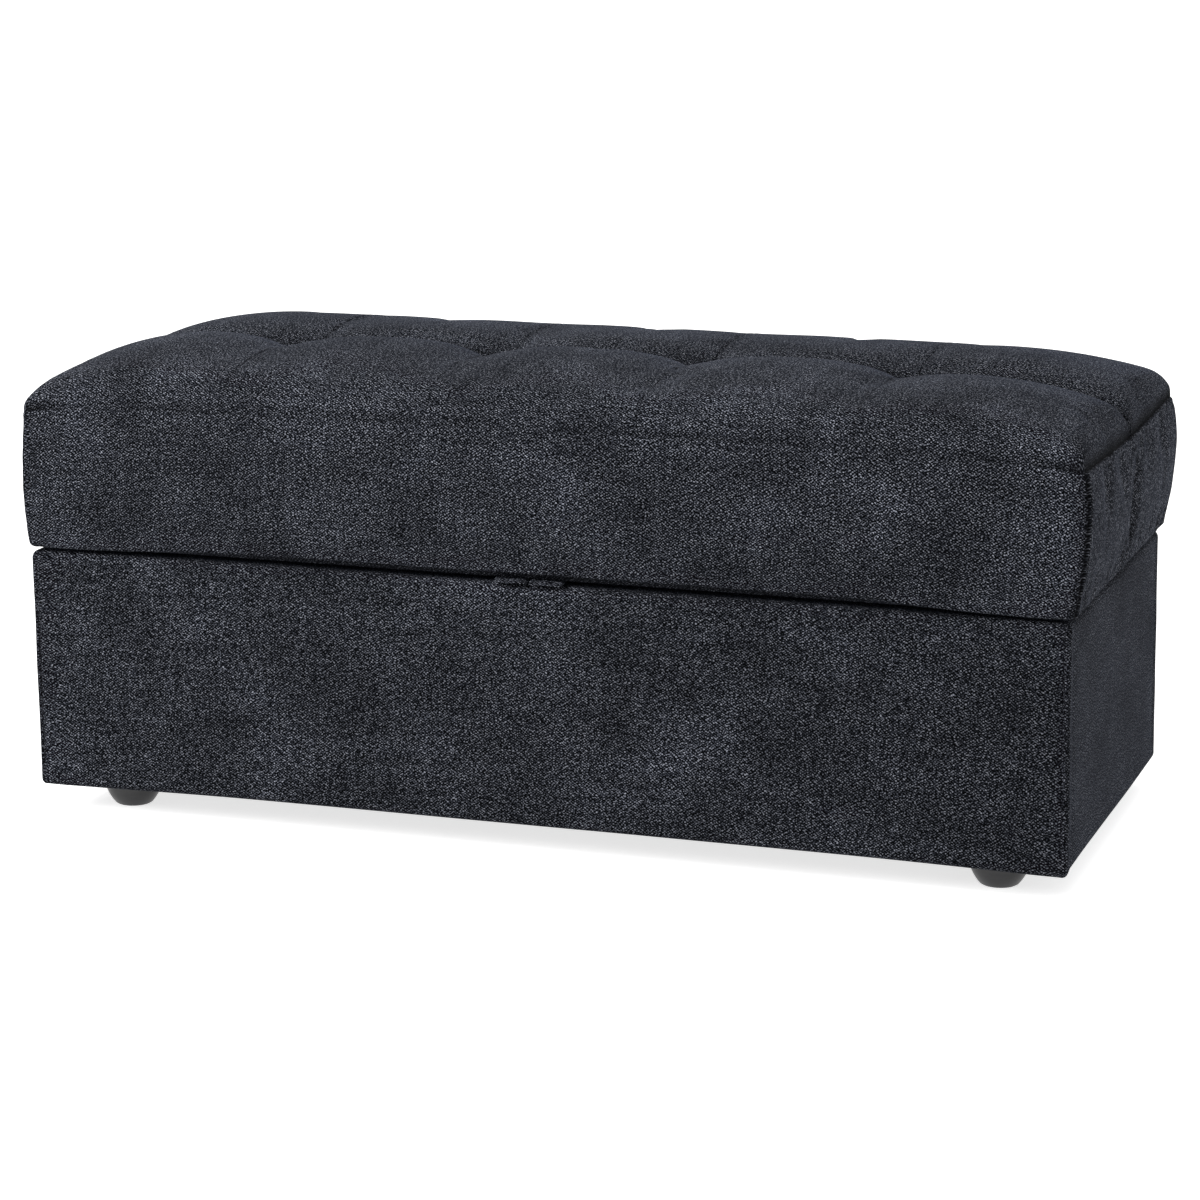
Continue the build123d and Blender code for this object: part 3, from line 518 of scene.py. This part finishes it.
def lid_details(xs, ys, top, rows):
    """How far each point of the lid moves along its normal for seams, puckers and soft waves, and how far
    its colour is darkened along seam lines and by painted shade.
    """
    x, y = top[..., 0], top[..., 1]
    near_tuft = np.min([np.hypot((x - place), y) for place in tuft_x], axis=0)
    cross = np.min([np.abs(x - place) for place in tuft_x], axis=0)
    fade = 0.3 + 0.7 * np.exp(-np.abs(y) / 0.06)
    rim_gap = np.minimum(seam_x - np.abs(x), seam_y - np.abs(y))
    top_move = groove(np.abs(y), 2.4 * MM, 1.5 * MM)
    top_move += groove(cross, 1.9 * MM, 1.3 * MM) * fade
    top_move += groove(rim_gap, 1.4 * MM, 1.3 * MM) * rim_strength(x)
    top_move += pucker(top, np.abs(y), 0.9 * MM, 0.014, 1)
    top_move += pucker(top, cross, 0.7 * MM, 0.012, 2) * fade
    top_move += pucker(top, rim_gap, 0.7 * MM, 0.012, 3)
    top_move += 1.4 * MM * noise_at(top, 0.035, 4) * np.exp(-near_tuft / 0.05)
    top_move += 0.9 * MM * noise_at(top, 0.10, 5) * smooth(rim_gap / 0.05)

    rim = np.array([top[i, j] for i, j in rectangle_loop(x[:, 0], y[0])])
    below = arc_lengths(np.concatenate([rim[None], rows]), 0)[1:]
    on_end, corner_gap = loop_gaps(xs, ys, len(rows))
    corner = np.where(
        on_end,
        groove(np.abs(corner_gap - 4.0 * MM), 1.6 * MM, 3.4 * MM),
        groove(corner_gap, 1.0 * MM, 1.6 * MM),
    )
    hold = np.ones(len(rows))
    hold[-len(UNDER_STEPS):] = 0.0
    band_move = groove(below, 1.4 * MM, 1.3 * MM) * rim_strength(rim[:, 0]) + corner
    band_move += pucker(rows, below, 0.7 * MM, 0.012, 6) + pucker(rows, corner_gap, 0.5 * MM, 0.02, 7)
    band_move += 1.0 * MM * noise_at(rows, 0.14, 8) + 0.45 * MM * noise_at(rows, 0.04, 9)
    # Darkening of the top: the seam lines are partly thread and parted pile and partly painted shade.
    # Painted shade is added round the tufts, in the valley along the lengthwise seam and beside the cross
    # seams.
    dark_top = 0.95 * np.exp(-((np.abs(y) / (1.5 * MM)) ** 2))
    dark_top = np.maximum(dark_top, 0.95 * fade * np.exp(-((cross / (1.4 * MM)) ** 2)))
    dark_top = np.maximum(dark_top, 0.62 * np.exp(-near_tuft / 0.022))
    dark_top = np.maximum(dark_top, 0.55 * np.exp(-((y / (16 * MM)) ** 2)))
    dark_top = np.maximum(dark_top, 0.35 * fade * np.exp(-((cross / (6 * MM)) ** 2)))
    dark_top = np.maximum(dark_top, 0.9 * rim_strength(x) * np.exp(-((rim_gap / (1.2 * MM)) ** 2)))
    # Darkening of the bands: the top seam line is partly thread and pile and partly painted shade. Painted
    # shade is added in the groove beside each end band's corner seam.
    dark_band = 0.9 * rim_strength(rim[:, 0]) * np.exp(-((below / (1.2 * MM)) ** 2))
    dark_band = np.maximum(dark_band, 0.85 * np.exp(-(((corner_gap - 4 * MM) / (3.4 * MM)) ** 2)) * on_end)
    # Painted shade: the last turn rows and the turned-under rows of the lid, in the gap above the box.
    under_rows = len(rows) - len(UNDER_STEPS) - 2
    dark_band[under_rows:] = np.maximum(dark_band[under_rows:], 0.6)
    return top_move, band_move * hold[:, None], dark_top, dark_band


FILLING_PRESSURE = 0.5
CLOTH_GROWTH = 0.012             # spare cloth that lets the cover ease into soft folds
FOLD_LIMIT = 0.0035
SETTLE_FRAMES = 22


def settle_cover():
    """Cloth simulation of the stuffed cover on a coarse copy, held at its seams and tufts.

    Returns the coarse grid and how far each of its points moved.
    """
    xs = steps_between([-seam_x, *tuft_x, seam_x], 11 * MM, 8 * MM, 0.03)
    ys = steps_between([-seam_y, 0.0, seam_y], 11 * MM, 8 * MM, 0.03)
    shares = np.linspace(0.0, 1.0, 12)
    top, rows = lid_surface(xs, ys, shares)
    shapes = (top.shape, rows.shape)
    verts = np.vstack([top.reshape(-1, 3), rows.reshape(-1, 3)])
    faces, _, _ = lid_faces(xs, ys, len(rows))
    cover = new_piece("settling_cover", verts, faces[:-1], UPHOLSTERY)

    x, y = top[..., 0], top[..., 1]
    near_tuft = np.min([np.hypot(x - place, y) for place in tuft_x], axis=0)
    cross = np.min([np.abs(x - place) for place in tuft_x], axis=0)
    rim_gap = np.minimum(seam_x - np.abs(x), seam_y - np.abs(y))
    on_cross = (cross < 4 * MM) * np.exp(-np.abs(y) / 0.06)
    top_hold = np.maximum(near_tuft < 12 * MM, 0.9 * np.maximum(np.abs(y) < 4 * MM, on_cross))
    top_hold = np.maximum(top_hold, 0.8 * (rim_gap < 2 * MM))
    _, corner_gap = loop_gaps(xs, ys, len(rows))
    row_hold = 0.8 * (corner_gap < 2 * MM)
    row_hold[-len(UNDER_STEPS) - 3:] = 1.0
    held = cover.vertex_groups.new(name="held")
    for number, weight in enumerate(np.concatenate([top_hold.ravel(), row_hold.ravel()])):
        if weight > 0:
            held.add([number], float(weight), "REPLACE")

    cloth = cover.modifiers.new("settle", "CLOTH")
    cloth.settings.quality = 6
    cloth.settings.mass = 0.4
    cloth.settings.tension_stiffness = 25
    cloth.settings.compression_stiffness = 12
    cloth.settings.shear_stiffness = 8
    cloth.settings.bending_stiffness = 0.6
    cloth.settings.air_damping = 6
    cloth.settings.effector_weights.gravity = 0
    cloth.settings.vertex_group_mass = "held"
    cloth.settings.pin_stiffness = 4
    cloth.settings.shrink_min = -CLOTH_GROWTH
    cloth.settings.use_pressure = True
    cloth.settings.uniform_pressure_force = FILLING_PRESSURE
    cloth.collision_settings.use_collision = False
    scene = bpy.context.scene
    for number in range(1, SETTLE_FRAMES + 1):
        scene.frame_set(number)
    settled = cover.evaluated_get(bpy.context.evaluated_depsgraph_get())
    places = np.zeros(len(verts) * 3)
    settled.data.vertices.foreach_get("co", places)
    moves = places.reshape(-1, 3) - verts
    scene.frame_set(1)
    bpy.data.objects.remove(cover)
    length = np.linalg.norm(moves, axis=1, keepdims=True)
    moves = moves * FOLD_LIMIT * np.tanh(length / FOLD_LIMIT) / np.maximum(length, 1e-9)
    split = top[..., 0].size
    return xs, ys, shares, moves[:split].reshape(shapes[0]), moves[split:].reshape(shapes[1])


def resample(values, old_a, old_b, new_a, new_b):
    """Values on one grid, read off at the lines of another."""
    halfway = np.array([
        [np.interp(new_a, old_a, values[:, j, c]) for c in range(3)] for j in range(len(old_b))
    ])
    return np.array([
        [np.interp(new_b, old_b, halfway[:, c, i]) for c in range(3)] for i in range(len(new_a))
    ]).transpose(0, 2, 1)


def loop_stations(xs, ys):
    """Running distance of each rim point round the seam rectangle."""
    rim = np.array([(xs[i], ys[j]) for i, j in rectangle_loop(xs, ys)])
    return np.concatenate([[0.0], np.cumsum(np.linalg.norm(np.diff(rim, axis=0), axis=1))])


def row_stations(shares):
    """A place for each band row, the seam row included, that grows downwards."""
    after = len(TURN_STEPS) + len(UNDER_STEPS)
    return np.concatenate([shares, 1 + 0.05 * np.arange(1, after + 1)])


def build_lid():
    xs = steps_between([-seam_x, *tuft_x, seam_x], 6.5 * MM, 1.1 * MM, 0.022)
    ys = steps_between([-seam_y, 0.0, seam_y], 5.5 * MM, 1.1 * MM, 0.022)
    shares = steps_between([0.0, 1.0], 0.024, 0.009, 0.16)
    top, rows = lid_surface(xs, ys, shares)
    faces, top_places, band_places = lid_faces(xs, ys, len(rows))

    across = arc_lengths(top, 1)
    across = across - across[:, [int(np.argmin(np.abs(ys)))]]
    along = arc_lengths(top, 0)
    along = along - along[len(xs) // 2]
    weave = [(along[i, j], across[i, j], 0.1) for places in top_places for i, j in places]
    rim = np.array([top[i, j] for i, j in rectangle_loop(xs, ys)])
    strip = np.concatenate([rim[None], rows])
    down = arc_lengths(strip, 0)
    on_end = np.abs(np.roll(rim[:, 0], -1) + rim[:, 0]) / 2 > seam_x - 1e-6
    for places in band_places:
        end_band = on_end[places[0][1]]
        axis, shift = (1, 0.37) if end_band else (0, 0.0)
        weave += [(rim[p][axis] + shift, -down[k, p] - seam_y, 0.1 + shift) for k, p in places]
    weave += [(*point[:2], 0.5) for point in strip[-1][::-1]]

    old_xs, old_ys, old_shares, top_fold, row_fold = settle_cover()
    top_fold_here = resample(top_fold, old_xs, old_ys, xs, ys)
    old_rim_fold = np.array([top_fold[i, j] for i, j in rectangle_loop(old_xs, old_ys)])
    old_strip = np.concatenate([old_rim_fold[None], row_fold])
    old_strip = np.concatenate([old_strip, old_strip[:, :1]], axis=1)
    old_round = loop_stations(old_xs, old_ys)
    old_round = np.append(old_round, 4 * (seam_x + seam_y))
    strip_fold = resample(
        old_strip, row_stations(old_shares), old_round, row_stations(shares), loop_stations(xs, ys),
    )
    top, rows = top + top_fold_here, rows + strip_fold[1:]

    verts = np.vstack([top.reshape(-1, 3), rows.reshape(-1, 3)])
    top_move, band_move, dark_top, dark_band = lid_details(xs, ys, *lid_surface(xs, ys, shares))
    seam_and_painted_shade = np.concatenate([dark_top.ravel(), dark_band.ravel()])
    cushion = new_piece("lid_cushion", verts, faces, UPHOLSTERY, weave, seam_and_painted_shade)
    normals = np.zeros(len(verts) * 3)
    cushion.data.vertices.foreach_get("normal", normals)
    moves = np.concatenate([top_move.ravel(), band_move.ravel()])
    verts = verts + normals.reshape(-1, 3) * moves[:, None]
    cushion.data.vertices.foreach_set("co", verts.ravel())
    cushion.data.update()
    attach(cushion, "lid")
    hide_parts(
        "lid_top_cover", "lid_front_band", "lid_back_band", "lid_left_band",
        "lid_right_band", "lid_wadding", "seat_foam_base", "seat_foam_topper",
    )


build_lid()


# ---- fabric cover of the box -------------------------------------------------------------------------
body_low, body_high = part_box("body_cover")
opening_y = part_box("box_lining")[1].y
CLOTH = 1.4 * MM
CORNER_ROUND = 0.006
RIM_ROUND = 0.0085
FOOT_ROUND = 0.006
HEM_SAG, HEM_SAG_ENDS = 0.0008, 0.0038           # the hem hangs lowest towards the corners
TURN_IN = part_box("box_lining")[1].z
WALL_RING = 12                   # a ring on the upright wall, along which the weave is measured


def rounded_loop(step_x, step_y, turns):
    """The box's outline as (corner it belongs to, share along its straight, turn) per point."""
    points = []
    for side in range(4):
        long_side = side % 2 == 0
        shares = steps_between([-1.0, 1.0], step_x if long_side else step_y, 0.003, 0.05)
        points += [(side, share, None) for share in shares]
        points += [(side, None, turn) for turn in turns]
    return points


def loop_points(points, inset, z):
    """The outline drawn in by the inset at one height; the front is side 0, then right, back, left."""
    radius = max(CORNER_ROUND - inset, 0.3 * MM)
    half_x = body_high.x - inset - radius
    half_y = body_high.y - inset - radius
    centres = ((half_x, -half_y), (half_x, half_y), (-half_x, half_y), (-half_x, -half_y))
    result = []
    for side, share, turn in points:
        heading = math.radians(-90 + 90 * side + (turn or 0))
        out = (math.cos(heading) * radius, math.sin(heading) * radius)
        if share is None:
            base = centres[side]
        elif side % 2 == 0:
            sign = 1 if side == 0 else -1
            base = (share * half_x * sign, -sign * half_y)
        else:
            sign = 1 if side == 1 else -1
            base = (sign * half_x, share * half_y * sign)
        result.append((base[0] + out[0], base[1] + out[1], z))
    return result


def arc_rows(centre_inset, centre_z, radius, start, end, count):
    """(inset, height) pairs round an arc; 180 degrees is outwards, 90 is up."""
    angles = np.radians(np.linspace(start, end, count))
    return [(centre_inset + radius * math.cos(a), centre_z + radius * math.sin(a)) for a in angles]


def body_profile():
    """The cover's closed cross-section: under the box, up the wall, over the rim and down inside."""
    bottom, rim = body_low.z, body_high.z
    wall_in = body_high.y - opening_y + CLOTH
    outside = [(wall_in - 4 * MM, bottom), (0.03, bottom), (0.015, bottom)]
    outside += arc_rows(FOOT_ROUND, bottom + FOOT_ROUND, FOOT_ROUND, 270, 180, 6)
    wall_top = rim - RIM_ROUND
    heights = np.linspace(bottom + FOOT_ROUND, wall_top, 34)[1:-1]
    outside += [(0.0, z) for z in heights]
    outside += arc_rows(RIM_ROUND, wall_top, RIM_ROUND, 180, 90, 9)
    inner = 5 * MM
    outside += [(wall_in * share, rim) for share in (0.45, 0.65, 0.8)]
    outside += arc_rows(wall_in - inner, rim - inner, inner, 90, 0, 6)
    outside += [(wall_in, z) for z in np.linspace(rim - inner, TURN_IN, 6)[1:]]
    inside = [(wall_in - CLOTH, TURN_IN), (wall_in - CLOTH, rim - 5 * MM)]
    inside += [(wall_in - 6 * MM, rim - CLOTH), (RIM_ROUND, rim - CLOTH)]
    inside += [(CLOTH + 2 * MM, rim - 6 * MM), (CLOTH, wall_top)]
    inside += [(CLOTH, bottom + FOOT_ROUND), (6 * MM, bottom + CLOTH)]
    inside += [(wall_in - 4 * MM, bottom + CLOTH)]
    return outside, inside


def build_body_cover():
    points = rounded_loop(0.018, 0.04, (12, 25, 38, 51, 64, 77))
    outside, inside = body_profile()
    rings = np.array([loop_points(points, inset, z) for inset, z in outside + inside])
    size, count = len(points), len(rings)
    lengths = arc_lengths(rings, 0)
    wall_ring = rings[WALL_RING]
    around = np.linalg.norm(np.diff(wall_ring, axis=0, append=wall_ring[:1]), axis=-1)
    around = np.concatenate([[0], np.cumsum(around)])
    faces, weave = [], []
    for k in range(count):
        m = (k + 1) % count
        for p in range(size):
            q = (p + 1) % size
            faces.append([k * size + p, k * size + q, m * size + q, m * size + p])
            panel = 0.8 + 0.21 * points[p][0]
            for row, place in ((k, p), (k, p + 1), (m, p + 1), (m, p)):
                weave.append((around[place] + panel, lengths[row, place % size], panel))
    z = rings[..., 2]
    on_wall = smooth((z - body_low.z) / 0.03) * smooth((body_high.z - z) / 0.02)
    outer = np.zeros(count)
    outer[:len(outside)] = 1.0
    corner_x = body_high.x - np.abs(rings[..., 0])
    corner_y = body_high.y - np.abs(rings[..., 1])
    on_front = corner_y < corner_x
    gap = np.where(on_front, corner_x - CORNER_ROUND, corner_y - CORNER_ROUND)
    move = 1.0 * MM * noise_at(rings * (1, 1, 0.6), 0.16, 21)
    move += 0.45 * MM * noise_at(rings * (0.5, 0.5, 1), 0.045, 22)
    move += 0.5 * MM * noise_at(rings * (1, 1, 0.2), 0.02, 23) * np.exp(-np.clip(gap, 0, 1) / 0.02)
    seam = groove(np.abs(gap), 1.6 * MM, 1.5 * MM) * on_front
    crease = -1.3 * MM * np.exp(-(((gap - 0.011) / 0.004) ** 2)) * ~on_front
    high = np.clip((z - body_low.z) / (body_high.z - body_low.z), 0, 1)
    on_end = smooth((np.abs(rings[..., 0]) / body_high.x - 0.94) / 0.05)
    spread = np.where(rings[..., 0] < 0, -(1.5 + 2.5 * high) * MM, (3.5 - 3.0 * high) * MM) * on_end
    sag = (HEM_SAG + HEM_SAG_ENDS * (rings[..., 0] / body_high.x) ** 4) * (1 - smooth(high / 0.5))
    sag = sag * (1 - 0.8 * on_end * smooth(corner_y / 0.02) * smooth((0.12 - rings[..., 1]) / 0.3))
    move = (move * (0.35 + 0.65 * on_wall) + (seam + crease) * on_wall) * outer[:, None]
    # Painted shade: the whole box cover is a little darker than the lid above it, and its front is darker
    # still towards the right, where the light falls off.
    painted_body_shade = 0.11 + 0.13 * smooth((rings[..., 0] / body_high.x + 0.1) / 1.1) * on_front
    # The front corner seam lines: partly thread and parted pile, partly painted shade.
    seam_and_painted_shade = 0.75 * np.exp(-((gap / (1.4 * MM)) ** 2)) * on_front * on_wall
    seam_and_painted_shade = np.maximum(seam_and_painted_shade, painted_body_shade)
    # Painted shade on the rim's top and inside, in the gap under the lid.
    inwards = np.minimum(corner_x, corner_y)
    seam_and_painted_shade = np.maximum(seam_and_painted_shade, 0.4 * smooth((inwards - RIM_ROUND) / 0.012) * (z > body_high.z - 0.02))
    cover = new_piece("body_fabric", rings.reshape(-1, 3), faces, UPHOLSTERY, weave, seam_and_painted_shade)
    normals = np.zeros(rings.size)
    cover.data.vertices.foreach_get("normal", normals)
    verts = rings + normals.reshape(rings.shape) * move[..., None]
    verts[..., 0] += spread
    verts[..., 2] -= sag
    cover.data.vertices.foreach_set("co", verts.ravel())
    cover.data.update()
    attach(cover, "base")
    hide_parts("body_cover", "body_wadding")


build_body_cover()


# ---- pull tabs, linings and staples ----------------------------------------------------------------
LINING_BORDER = 0.016            # the folded edge of each lining
STAPLE_LENGTH, STAPLE_WIRE = 0.011, 0.0007


def tab_profile(low, high):
    """(y, z) round the outside of a folded strip that pokes out at the front of the lid."""
    front, back, top = low.y - 2.5 * MM, high.y, high.z - 0.3 * MM
    drop = low.z + 0.6 * MM
    upper = [(back, top), (back - 0.012, top), (front + 0.018, top - 0.1 * MM)]
    upper += [(front + 0.009, top - 0.7 * MM), (front + 0.003, top - 1.6 * MM), (front, top - 2.6 * MM)]
    lower = [(front + 0.0006, drop + 0.2 * MM), (front + 0.003, drop - 0.2 * MM)]
    lower += [(front + 0.010, drop + 0.6 * MM), (front + 0.020, top - 2.4 * MM), (back, top - 2.2 * MM)]
    return np.array(upper + lower)


def build_pull_tabs():
    low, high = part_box("pull_tabs")
    width = (high.x - low.x - 4 * MM) / 2
    profile = tab_profile(low, high)
    for side in (-1, 1):
        centre = side * (2 * MM + width / 2)
        places = np.linspace(-1, 1, 13)
        rings = []
        for place in places:
            ring = profile.copy()
            ring[:, 1] += 0.35 * MM * math.sin(5 * place + side) * smooth((-0.2 - ring[:, 0]) / 0.03)
            ring[:, 0] += 0.8 * MM * place**4
            x = np.full(len(ring), centre + place * width / 2)
            rings.append(np.column_stack([x, ring]))
        rings = np.array(rings)
        size = len(profile)
        run = np.append(arc_lengths(profile, 0), 2 * (high.y - low.y))
        faces, weave = [], []
        for k in range(len(places) - 1):
            for p in range(size):
                q = (p + 1) % size
                faces.append([k * size + p, k * size + q, (k + 1) * size + q, (k + 1) * size + p])
                corners = ((k, p), (k, p + 1), (k + 1, p + 1), (k + 1, p))
                weave += [(rings[a, 0, 0], run[b], 0.7) for a, b in corners]
        faces += [list(range(size))[::-1], [(len(places) - 1) * size + p for p in range(size)]]
        weave += [(0.0, run[p], 0.7) for p in range(size)] * 2
        tab = new_piece(
            f"pull_tab_{'left' if side < 0 else 'right'}", rings.reshape(-1, 3), faces, UPHOLSTERY, weave,
            np.zeros(rings.shape[:2]),
        )
        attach(tab, "lid")
        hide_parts("pull_tabs")


def slack(points, seed):
    """Soft creases of a lining that is stapled only at its edges."""
    broad = noise_at(points, 0.11, seed)
    crease = 1 - np.abs(noise_at(points * (1.0, 1.7, 1.0), 0.06, seed + 1)) * 3.2
    return 0.55 * broad + 0.75 * np.clip(crease, 0, 1) ** 2


def build_flat_lining(name, node, body, up, depth, seed):
    """A stapled lining sheet with a folded border; up is 1 if its seen side faces up."""
    low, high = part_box(node)
    xs = np.linspace(low.x, high.x, 150)
    ys = np.linspace(low.y, high.y, 64)
    grid_x, grid_y = np.meshgrid(xs, ys, indexing="ij")
    flat = np.stack([grid_x, grid_y, np.zeros_like(grid_x)], axis=-1)
    edge = np.minimum(
        np.minimum(grid_x - low.x, high.x - grid_x), np.minimum(grid_y - low.y, high.y - grid_y),
    )
    fold = 0.35 * MM * (1 - smooth((edge - LINING_BORDER) / 0.003))
    seen = fold + depth * slack(flat, seed) * smooth(edge / 0.03)
    near, far = (high.z, low.z) if up > 0 else (low.z, high.z)
    seen_side = np.stack([grid_x, grid_y, near + up * (seen - 0.35 * MM)], axis=-1)
    hidden_side = np.stack([grid_x, grid_y, np.full_like(grid_x, far)], axis=-1)
    count_x, count_y = grid_x.shape
    index = np.arange(count_x * count_y).reshape(count_x, count_y)
    back = index + count_x * count_y
    faces = []
    for i in range(count_x - 1):
        for j in range(count_y - 1):
            around = [(i, j), (i + 1, j), (i + 1, j + 1), (i, j + 1)]
            faces.append([index[c] for c in around][::up])
            faces.append([back[c] for c in around][::-up])
    loop = rectangle_loop(xs, ys)
    for place, following in zip(loop, loop[1:] + loop[:1]):
        faces.append([index[place], back[place], back[following], index[following]][::up])
    verts = np.vstack([seen_side.reshape(-1, 3), hidden_side.reshape(-1, 3)])
    sheet = new_piece(name, verts, faces, LINING)
    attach(sheet, body)
    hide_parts(node)
    return sheet, (high.x - low.x, high.y - low.y)


def build_box_lining():
    """The lining of the box's four walls, one strip that hangs from its stapled upper edge."""
    low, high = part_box("box_lining")
    corner = 0.006
    half_x, half_y = high.x - corner, high.y - corner
    centres = ((half_x, -half_y), (half_x, half_y), (-half_x, half_y), (-half_x, -half_y))
    outline = []
    for side in range(4):
        start, end = centres[side - 1], centres[side]
        heading = math.radians(-90 + 90 * side)
        out = (math.cos(heading), math.sin(heading))
        for share in np.linspace(0, 1, 90 if side % 2 == 0 else 38):
            x = start[0] + (end[0] - start[0]) * share + out[0] * corner
            y = start[1] + (end[1] - start[1]) * share + out[1] * corner
            outline.append((x, y, out[0], out[1]))
        for turn in (22.5, 45, 67.5):
            angle = heading + math.radians(turn)
            x = end[0] + math.cos(angle) * corner
            y = end[1] + math.sin(angle) * corner
            outline.append((x, y, math.cos(angle), math.sin(angle)))
    outline = np.array(outline)
    heights = np.linspace(low.z, high.z, 28)
    rings = []
    for z in heights:
        points = np.column_stack([outline[:, :2], np.full(len(outline), z)])
        held = smooth((high.z - z) / 0.03) * smooth((z - low.z) / 0.02)
        inward = 0.6 * MM + 2.2 * MM * np.clip(slack(points * (1, 1, 0.6), 33) + 0.4, 0, 2) * held
        inward += 0.4 * MM * (z > high.z - LINING_BORDER)
        rings.append(points - np.column_stack([outline[:, 2:] * inward[:, None], np.zeros(len(outline))]))
    for z in heights[::-1]:
        rings.append(np.column_stack([outline[:, :2], np.full(len(outline), z)]))
    rings = np.array(rings)
    size, count = len(outline), len(rings)
    faces = []
    for k in range(count):
        m = (k + 1) % count
        for p in range(size):
            q = (p + 1) % size
            faces.append([k * size + p, m * size + p, m * size + q, k * size + q])
    lining = new_piece("wall_lining", rings.reshape(-1, 3), faces, LINING)
    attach(lining, "base")
    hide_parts("box_lining")


def build_staples(name, body, places):
    """Steel staples; a place is its middle, the way its crown runs, and the way it stands proud."""
    verts, faces = [], []
    for middle, along, proud in places:
        middle, along, proud = Vector(middle), Vector(along), Vector(proud)
        side = along.cross(proud)
        line = [(-0.5, -1.6), (-0.5, 0.35), (-0.44, 0.8), (0.44, 0.8), (0.5, 0.35), (0.5, -1.6)]
        first = len(verts)
        for run, lift in line:
            point = middle + along * run * STAPLE_LENGTH + proud * lift * STAPLE_WIRE
            for angle in range(0, 360, 60):
                around = side * math.cos(math.radians(angle)) + proud * math.sin(math.radians(angle))
                verts.append(point + around * STAPLE_WIRE / 2)
        for k in range(len(line) - 1):
            for p in range(6):
                q = (p + 1) % 6
                a, b = first + 6 * k, first + 6 * (k + 1)
                faces.append([a + p, a + q, b + q, b + p])
    staples = new_piece(name, verts, faces, STEEL)
    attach(staples, body)


def edge_places(low, high, z, proud, inset, spacing):
    """Staple places round a rectangle, each crown along the edge with a slight slant."""
    places = []
    half_x, half_y = (high.x - low.x) / 2 - inset, (high.y - low.y) / 2 - inset
    centre_x, centre_y = (high.x + low.x) / 2, (high.y + low.y) / 2
    for side in range(4):
        length = half_x if side % 2 == 0 else half_y
        count = int(2 * length / spacing)
        for number in range(count + 1):
            run = -length + 2 * length * (number + 0.5) / (count + 1)
            slant = 0.25 * noise.noise(Vector((run * 40, side * 3.7, 1.3)))
            along = Vector((1, slant, 0)) if side % 2 == 0 else Vector((slant, 1, 0))
            spot = {
                0: (run, -half_y), 1: (half_x, run), 2: (run, half_y), 3: (-half_x, run),
            }[side]
            places.append(((centre_x + spot[0], centre_y + spot[1], z), along.normalized(), (0, 0, proud)))
    return places


def build_linings():
    lid_sheet, size = build_flat_lining("lid_underside_lining", "lid_lining", "lid", -1, 0.9 * MM, 51)
    floor_sheet, size = build_flat_lining("box_floor_lining", "floor_lining", "base", 1, 0.8 * MM, 61)
    dust_sheet, size = build_flat_lining("under_dust_cover", "dust_cover", "base", -1, 0.7 * MM, 71)
    build_box_lining()

    low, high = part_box("lid_lining")
    build_staples("lid_staples", "lid", edge_places(low, high, low.z + 0.1 * MM, -1, 8 * MM, 0.045))
    low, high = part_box("dust_cover")
    build_staples("dust_cover_staples", "base", edge_places(low, high, low.z + 0.1 * MM, -1, 8 * MM, 0.05))
    low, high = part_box("box_lining")
    wall = []
    for spot, along, _ in edge_places(low, high, high.z - 8 * MM, 1, 0.8 * MM, 0.055):
        if abs(along[0]) > 0.5:
            inwards = (0, -math.copysign(1, spot[1]), 0)
            level = Vector((along[0], 0, 0.1))
        else:
            inwards = (-math.copysign(1, spot[0]), 0, 0)
            level = Vector((0, along[1], 0.1))
        wall.append((spot, level.normalized(), inwards))
    build_staples("wall_staples", "base", wall)


build_pull_tabs()
build_linings()


# ---- studio ------------------------------------------------------------------------------------------
CAMERA_PLACE = (1.1391, -3.4423, 1.0181)
CAMERA_YAW, CAMERA_PITCH = math.radians(-18.379), math.radians(12.612)
CAMERA_LENS = 109.77


def add_light(name, kind, energy, place, size=None, angle=None):
    """A soft light that looks at the middle of the bench from its place."""
    light = bpy.data.lights.new(name, kind)
    light.energy = energy
    if size:
        light.size = size
    if angle:
        light.angle = math.radians(angle)
    lamp = bpy.data.objects.new(name, light)
    lamp.location = place
    lamp.rotation_euler = (Vector((0, 0, 0.25)) - Vector(place)).to_track_quat("-Z", "Y").to_euler()
    bpy.context.scene.collection.objects.link(lamp)


def build_studio():
    bpy.ops.mesh.primitive_grid_add(x_subdivisions=8, y_subdivisions=8, size=80)
    floor = bpy.context.object
    floor.name = "studio_floor"
    n = Nodes("studio_floor_paint")
    grain = n.noise(n.place(), 3.0, 2.0, 0.5)
    colour = n.ramp(grain, (0.3, (0.90, 0.90, 0.90)), (0.7, (0.93, 0.93, 0.93)))
    floor.data.materials.append(n.finish(
        Base_Color=colour, Roughness=0.9, Emission_Color=(1, 1, 1, 1), Emission_Strength=0.7,
    ))
    floor.visible_diffuse = False

    world = bpy.data.worlds.new("studio_light")
    bpy.context.scene.world = world
    world.use_nodes = True
    world.node_tree.nodes["Background"].inputs["Color"].default_value = (1.0, 1.0, 1.0, 1)
    world.node_tree.nodes["Background"].inputs["Strength"].default_value = 0.58
    add_light("key_softbox", "AREA", 190, (-2.6, -3.1, 2.7), size=2.4)
    add_light("top_softbox", "SUN", 0.7, (0.2, 0.9, 4.0), angle=45)

    camera_data = bpy.data.cameras.new("camera")
    camera_data.lens = CAMERA_LENS
    camera_data.sensor_width = 36
    camera_data.clip_end = 200
    camera = bpy.data.objects.new("camera", camera_data)
    camera.location = CAMERA_PLACE
    camera.rotation_euler = (math.pi / 2 - CAMERA_PITCH, 0, -CAMERA_YAW)
    bpy.context.scene.collection.objects.link(camera)
    bpy.context.scene.camera = camera
    bpy.context.scene.view_settings.view_transform = "Standard"


build_studio()
